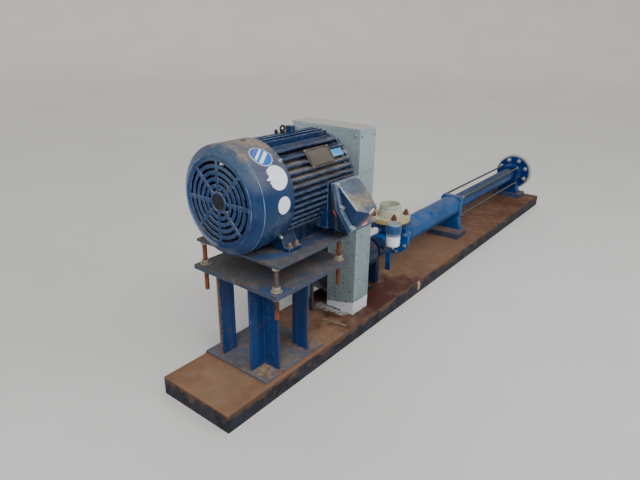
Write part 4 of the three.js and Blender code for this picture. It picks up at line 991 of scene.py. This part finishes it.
def guard_details():
    """The lid with its folded lip, the corner seams, small holes as thin dark discs of painted shade, screws
    and the stay's bolt.
    """
    low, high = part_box("belt_guard")
    lid, seam, holes, screws, stay = shapes(5)
    lip, sheet = 0.014, 0.0014
    x0, x1, y0, y1, top = low.x - sheet, high.x + sheet, low.y - sheet, high.y + sheet, high.z + sheet
    rows = []
    for inset, z in ((0.0, top - lip), (0.0, top - 0.0012), (0.0012, top), (0.01, top), (0.01, top - sheet),
                     (sheet, top - lip)):
        rows.append(rectangle(x0 + inset, x1 - inset, y0 + inset, y1 - inset, z))
    lid.grid(rows, True)
    lid.slab(at((x0 + x1) / 2, (y0 + y1) / 2, top - sheet / 2 - 0.0001), (X, Y, Z),
             ((x1 - x0) / 2 - 0.0095, (y1 - y0) / 2 - 0.0095, sheet / 2))
    lid.make("guard_lid", "guard", "galvanised", 30)
    seam.slab(at(high.x - 0.008, low.y - 0.0006, 0.55), (X, Z, -Y), (0.0075, 0.43, 0.0007), 0.0004)
    seam.slab(at(low.x - 0.0006, high.y - 0.01, 0.55), (Y, Z, -X), (0.0095, 0.43, 0.0007), 0.0004)
    seam.make("guard_seams", "guard", "galvanised")
    for y, z in ((0.0118, 0.1917), (-0.0759, 0.1375), (-0.0646, 0.1168), (-0.054, 0.2347),
                 (-0.0379, 0.1802), (-0.096, 0.201), (-0.008, 0.17)):
        size = 0.003 + 0.0012 * (0.5 + 0.5 * sin(y * 900))
        holes.lathe(at(low.x - 0.0003, y, z), -X, ((0, size), (0.0003, size), (0.0004, size * 0.9)), 20)
    holes.make("guard_holes", "recess_shade", "dark_steel")
    for x, z in ((-0.9095, 0.955), (-0.812, 0.955), (-0.9095, 0.33), (-0.812, 0.33)):
        screws.bolt(at(x, low.y - 0.0012, z), -Y, 0.008, 0.004, 0.0065)
    for y in (-0.095, 0.072, 0.24):
        screws.bolt(at(low.x - 0.0002, y, 0.955), -X, 0.008, 0.004, 0.0065)
    screws.make("guard_screws", "zinc", "bright_steel")
    stay.bolt(at(-1.0141, 0.067, 0.445), -X, 0.013, 0.008, 0.009)
    stay.make("guard_stay_bolt", "zinc", "bright_steel")


# Pump

def flange_bolts():
    """Bolts, nuts and gaskets of the pipe joints."""
    bright, rusted, gaskets = shapes(3)
    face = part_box("end_casting")[1].x
    inlet, joint = at(INLET_X, PUMP_Y, 0.0), pump_place(-0.322)
    outlet_circle, inlet_circle, joint_circle = 0.1085, 0.0935, 0.0865
    bright.bolt_ring(pump_place(face - 0.026), X, outlet_circle, 8, -X, 0.024, 0.014, 0.0175)
    bright.bolt_ring(pump_place(face + 0.038), X, outlet_circle, 8, X, 0.024, 0.018, 0.0175, 0.012)
    rusted.bolt_ring(inlet + Z * 0.426, Z, inlet_circle, 4, Z, 0.029, 0.018, 0.0, 0.013)
    rusted.bolt_ring(inlet + Z * 0.378, Z, inlet_circle, 4, -Z, 0.029, 0.018, 0.0, 0.008)
    bright.bolt_ring(joint, X, joint_circle, 8, -X, 0.019, 0.011)
    bright.bolt_ring(joint + X * 0.028, X, joint_circle, 8, X, 0.019, 0.014, 0.0, 0.006)
    bright.make("flange_bolts_bright", "zinc", "bright_steel")
    rusted.make("inlet_bolts_rusty", "rust_bolt", "rod_rust")
    gaskets.lathe(pump_place(face), X, ((-0.0005, 0.1312), (0.0005, 0.1322), (0.001, 0.1312)), 64)
    gaskets.lathe(inlet + Z * 0.402, Z, ((-0.0008, 0.1148), (0.0, 0.1153), (0.0008, 0.1148)), 56)
    gaskets.make("flange_gaskets", "gasket", "belt_rubber")


def supports_and_welds():
    """Nuts on the tie rods' ends, bolts of the supports' feet, and weld beads round the pipes."""
    nuts, bolts, casing, necks = shapes(4)
    for number in range(1, 5):
        low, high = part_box(f"tie_rod_{number}")
        y, z = (low.y + high.y) / 2, (low.z + high.z) / 2
        nuts.bolt(at(1.597, y, z), X, 0.021, 0.012)
        nuts.bolt(at(0.494, y, z), X, 0.021, 0.01)
    nuts.make("tie_rod_nuts", "zinc", "bright_steel")
    for x in (0.472, 1.651):
        for y in (PUMP_Y - 0.07, PUMP_Y + 0.07):
            bolts.bolt(at(x, y, DECK + 0.0535), Z, 0.013, 0.008)
    bolts.make("support_bolts", "rust_bolt", "rod_rust")
    for x, radius in ((0.4393, 0.0725), (-0.2935, 0.0722)):
        casing.tube(circle(pump_place(x), X, radius, 220), 0.0032, 8, True, 0.2)
    casing.make("casing_welds", "pump", "pump_blue")
    for centre, axis, reach in ((at(INLET_X, PUMP_Y, 0.478), Z, 0.058), (pump_place(1.798), X, 0.0848)):
        necks.tube(circle(centre, axis, reach, 240), 0.0026, 8, True, 0.25)
    necks.make("neck_welds", "cream", "pale_cream")


def housing_details():
    """Bearing covers, grease nipples, gland studs and foot bolts of the part behind the guard."""
    covers, bolts = shapes(2)
    low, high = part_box("bearing_housing")
    for x, way in ((low.x, -X), (high.x, X)):
        covers.lathe(pump_place(x), way, ((0.0, 0.052), (0.0, 0.072), (0.006, 0.07), (0.008, 0.064),
                                          (0.009, 0.054), (0.004, 0.052)), closed=True)
        bolts.bolt_ring(pump_place(x) + way * 0.0065, X, 0.063, 6, way, 0.01, 0.006)
    covers.make("bearing_covers", "shade", "pump_blue")
    for x in (low.x + 0.04, high.x - 0.04):
        for y in (PUMP_Y - 0.054, PUMP_Y + 0.054):
            bolts.bolt(at(x, y, DECK + 0.02), Z, 0.01, 0.006)
    for x in (low.x + 0.045, high.x - 0.045):
        top = at(x, PUMP_Y, PUMP_Z + 0.0775)
        bolts.head(top, Z, 0.011, 0.005)
        bolts.lathe(top + Z * 0.005, Z, ((0, 0.003), (0.006, 0.003), (0.008, 0.0036), (0.011, 0.0022)), 14)
    bolts.bolt_ring(pump_place(-0.57) + X * 0.0145, X, 0.0395, 2, X, 0.012, 0.008, start=0.0)
    bolts.make("housing_bolts", "rust_bolt", "rod_rust")


def lubricator():
    """A ribbed blue cap on a blank white cartridge, with a steel elbow."""
    x, y, level = -0.526, -0.092, 0.298
    base = at(x, y, 0)
    cap, rims, body, elbow = shapes(4)
    rows = []
    for z, radius, rib in ((0.394, 0.0385, 0), (0.3945, 0.0415, 0.5), (0.398, 0.0424, 1), (0.432, 0.0424, 1),
                           (0.436, 0.041, 0.5), (0.438, 0.0395, 0)):
        row = []
        for t in turns(144):
            reach = radius - 0.0022 * rib * (0.5 + 0.5 * cos(28 * t))
            row.append(base + at(cos(t) * reach, sin(t) * reach, z))
        rows.append(row)
    cap.grid(rows, False, True)
    piece = cap.make("lubricator_cap", "cap", "pump_blue", 50)
    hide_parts("lubricator")
    rims.lathe(base, Z, ((0.4375, 0.0395), (0.4425, 0.0385), (0.4445, 0.0365), (0.4445, 0.0325),
                         (0.4415, 0.031), (0.4405, 0.02), (0.442, 0.012), (0.4425, 0.001)), 56)
    rims.lathe(base, Z, ((0.389, 0.0372), (0.39, 0.0392), (0.394, 0.0392), (0.395, 0.0372)), 56)
    rims.lathe(base, Z, ((0.377, 0.0366), (0.3775, 0.0378), (0.389, 0.0378), (0.3895, 0.0366)), 56)
    rims.make("lubricator_rims", "rim", "plate_grey")
    body.lathe(base, Z, ((0.3135, 0.014), (0.315, 0.024), (0.318, 0.032), (0.3225, 0.0358),
                         (0.328, 0.0368), (0.39, 0.0368)), 56)
    body.make("lubricator_cartridge", "white", "white_plastic")
    elbow.lathe(base, Z, ((0.307, 0.0085), (0.3075, 0.0098), (0.316, 0.0098)), 28)
    elbow.head(base + Z * 0.301, Z, 0.019, 0.007)
    path = [base + at(0, 0, 0.302)]
    for i in range(9):
        t = pi / 2 * i / 8
        path.append(base + at(0, 0.006 - 0.006 * cos(t), level + 0.004 * (1 - sin(t))))
    path.append(at(x, -0.0475, level))
    elbow.tube(path, 0.0075, 18)
    elbow.head(at(x, -0.0545, level), Y, 0.018, 0.008)
    elbow.make("lubricator_elbow", "machined", "bright_steel")


# Stage

def studio_floor():
    """A round floor that curves up into a wall all round, far from the part."""
    flat, bend, wall, sides = 14.0, 7.0, 15.0, 120
    profile = [(0.0, 0.5), (0.0, 7.0), (0.0, flat)]
    for step in range(1, 21):
        turn = pi / 2 * step / 20
        profile.append((bend - bend * cos(turn), flat + bend * sin(turn)))
    profile.append((wall, flat + bend))
    sweep = Shape()
    sweep.grid([[at(radius * cos(t), -radius * sin(t), height) for t in turns(sides)]
                for height, radius in profile])
    sweep.faces.append(list(range(sides))[::-1])
    mesh = sweep.mesh("floor")
    mesh.shade_smooth()
    return show("floor", mesh)


def make_stage():
    floor = studio_floor()
    f = Finish("floor_pale", shine=0.15)
    f.colour = f.mix(f.cloud((0.8, 3), 0.3, 0.7), "cccac7", "d0cecb")
    floor.data.materials.append(f.done(0.85, f.noise(30, 3), 0.05, 0.001, 0))
    world = bpy.data.worlds.new("studio")
    world.use_nodes = True
    background = world.node_tree.nodes["Background"]
    background.inputs["Color"].default_value = (0.88, 0.93, 1.0, 1.0)
    background.inputs["Strength"].default_value = 0.33
    bpy.context.scene.world = world
    for name, place, angle, power, colour in (
            ("key", (-0.38, -0.48, 0.79), 0.8, 2.15, (1.0, 0.98, 0.95)),
            ("rear", (0.5, 0.55, 0.65), 0.9, 0.45, (0.95, 0.97, 1.0))):
        data = set_up(bpy.data.lights.new(name, "SUN"), angle=angle, energy=power, color=colour)
        show(name, data).matrix_world = Vector(place).to_track_quat("Z", "Y").to_matrix().to_4x4()
    for name, place, target, size in (("window", (-4.6, -2.0, 2.6), (-1.2, 0.0, 0.6), 2.6),
                                      ("sheen", (0.3, -3.8, 3.4), (-1.2, 0.0, 0.8), 2.8)):
        data = bpy.data.lights.new(name, "AREA")
        set_up(data, shape="DISK", size=size, energy=90, color=(0.94, 0.97, 1.0))
        turn = (Vector(target) - Vector(place)).to_track_quat("-Z", "Y").to_matrix().to_4x4()
        show(name, data).matrix_world = Matrix.Translation(place) @ turn


make_camera()
dress_nodes()
jack_rods()
stand_welds()
cowl()
cowl_patches()
nameplate()
motor_fasteners()
conduit_box()
guard_details()
flange_bolts()
supports_and_welds()
housing_details()
lubricator()
make_stage()
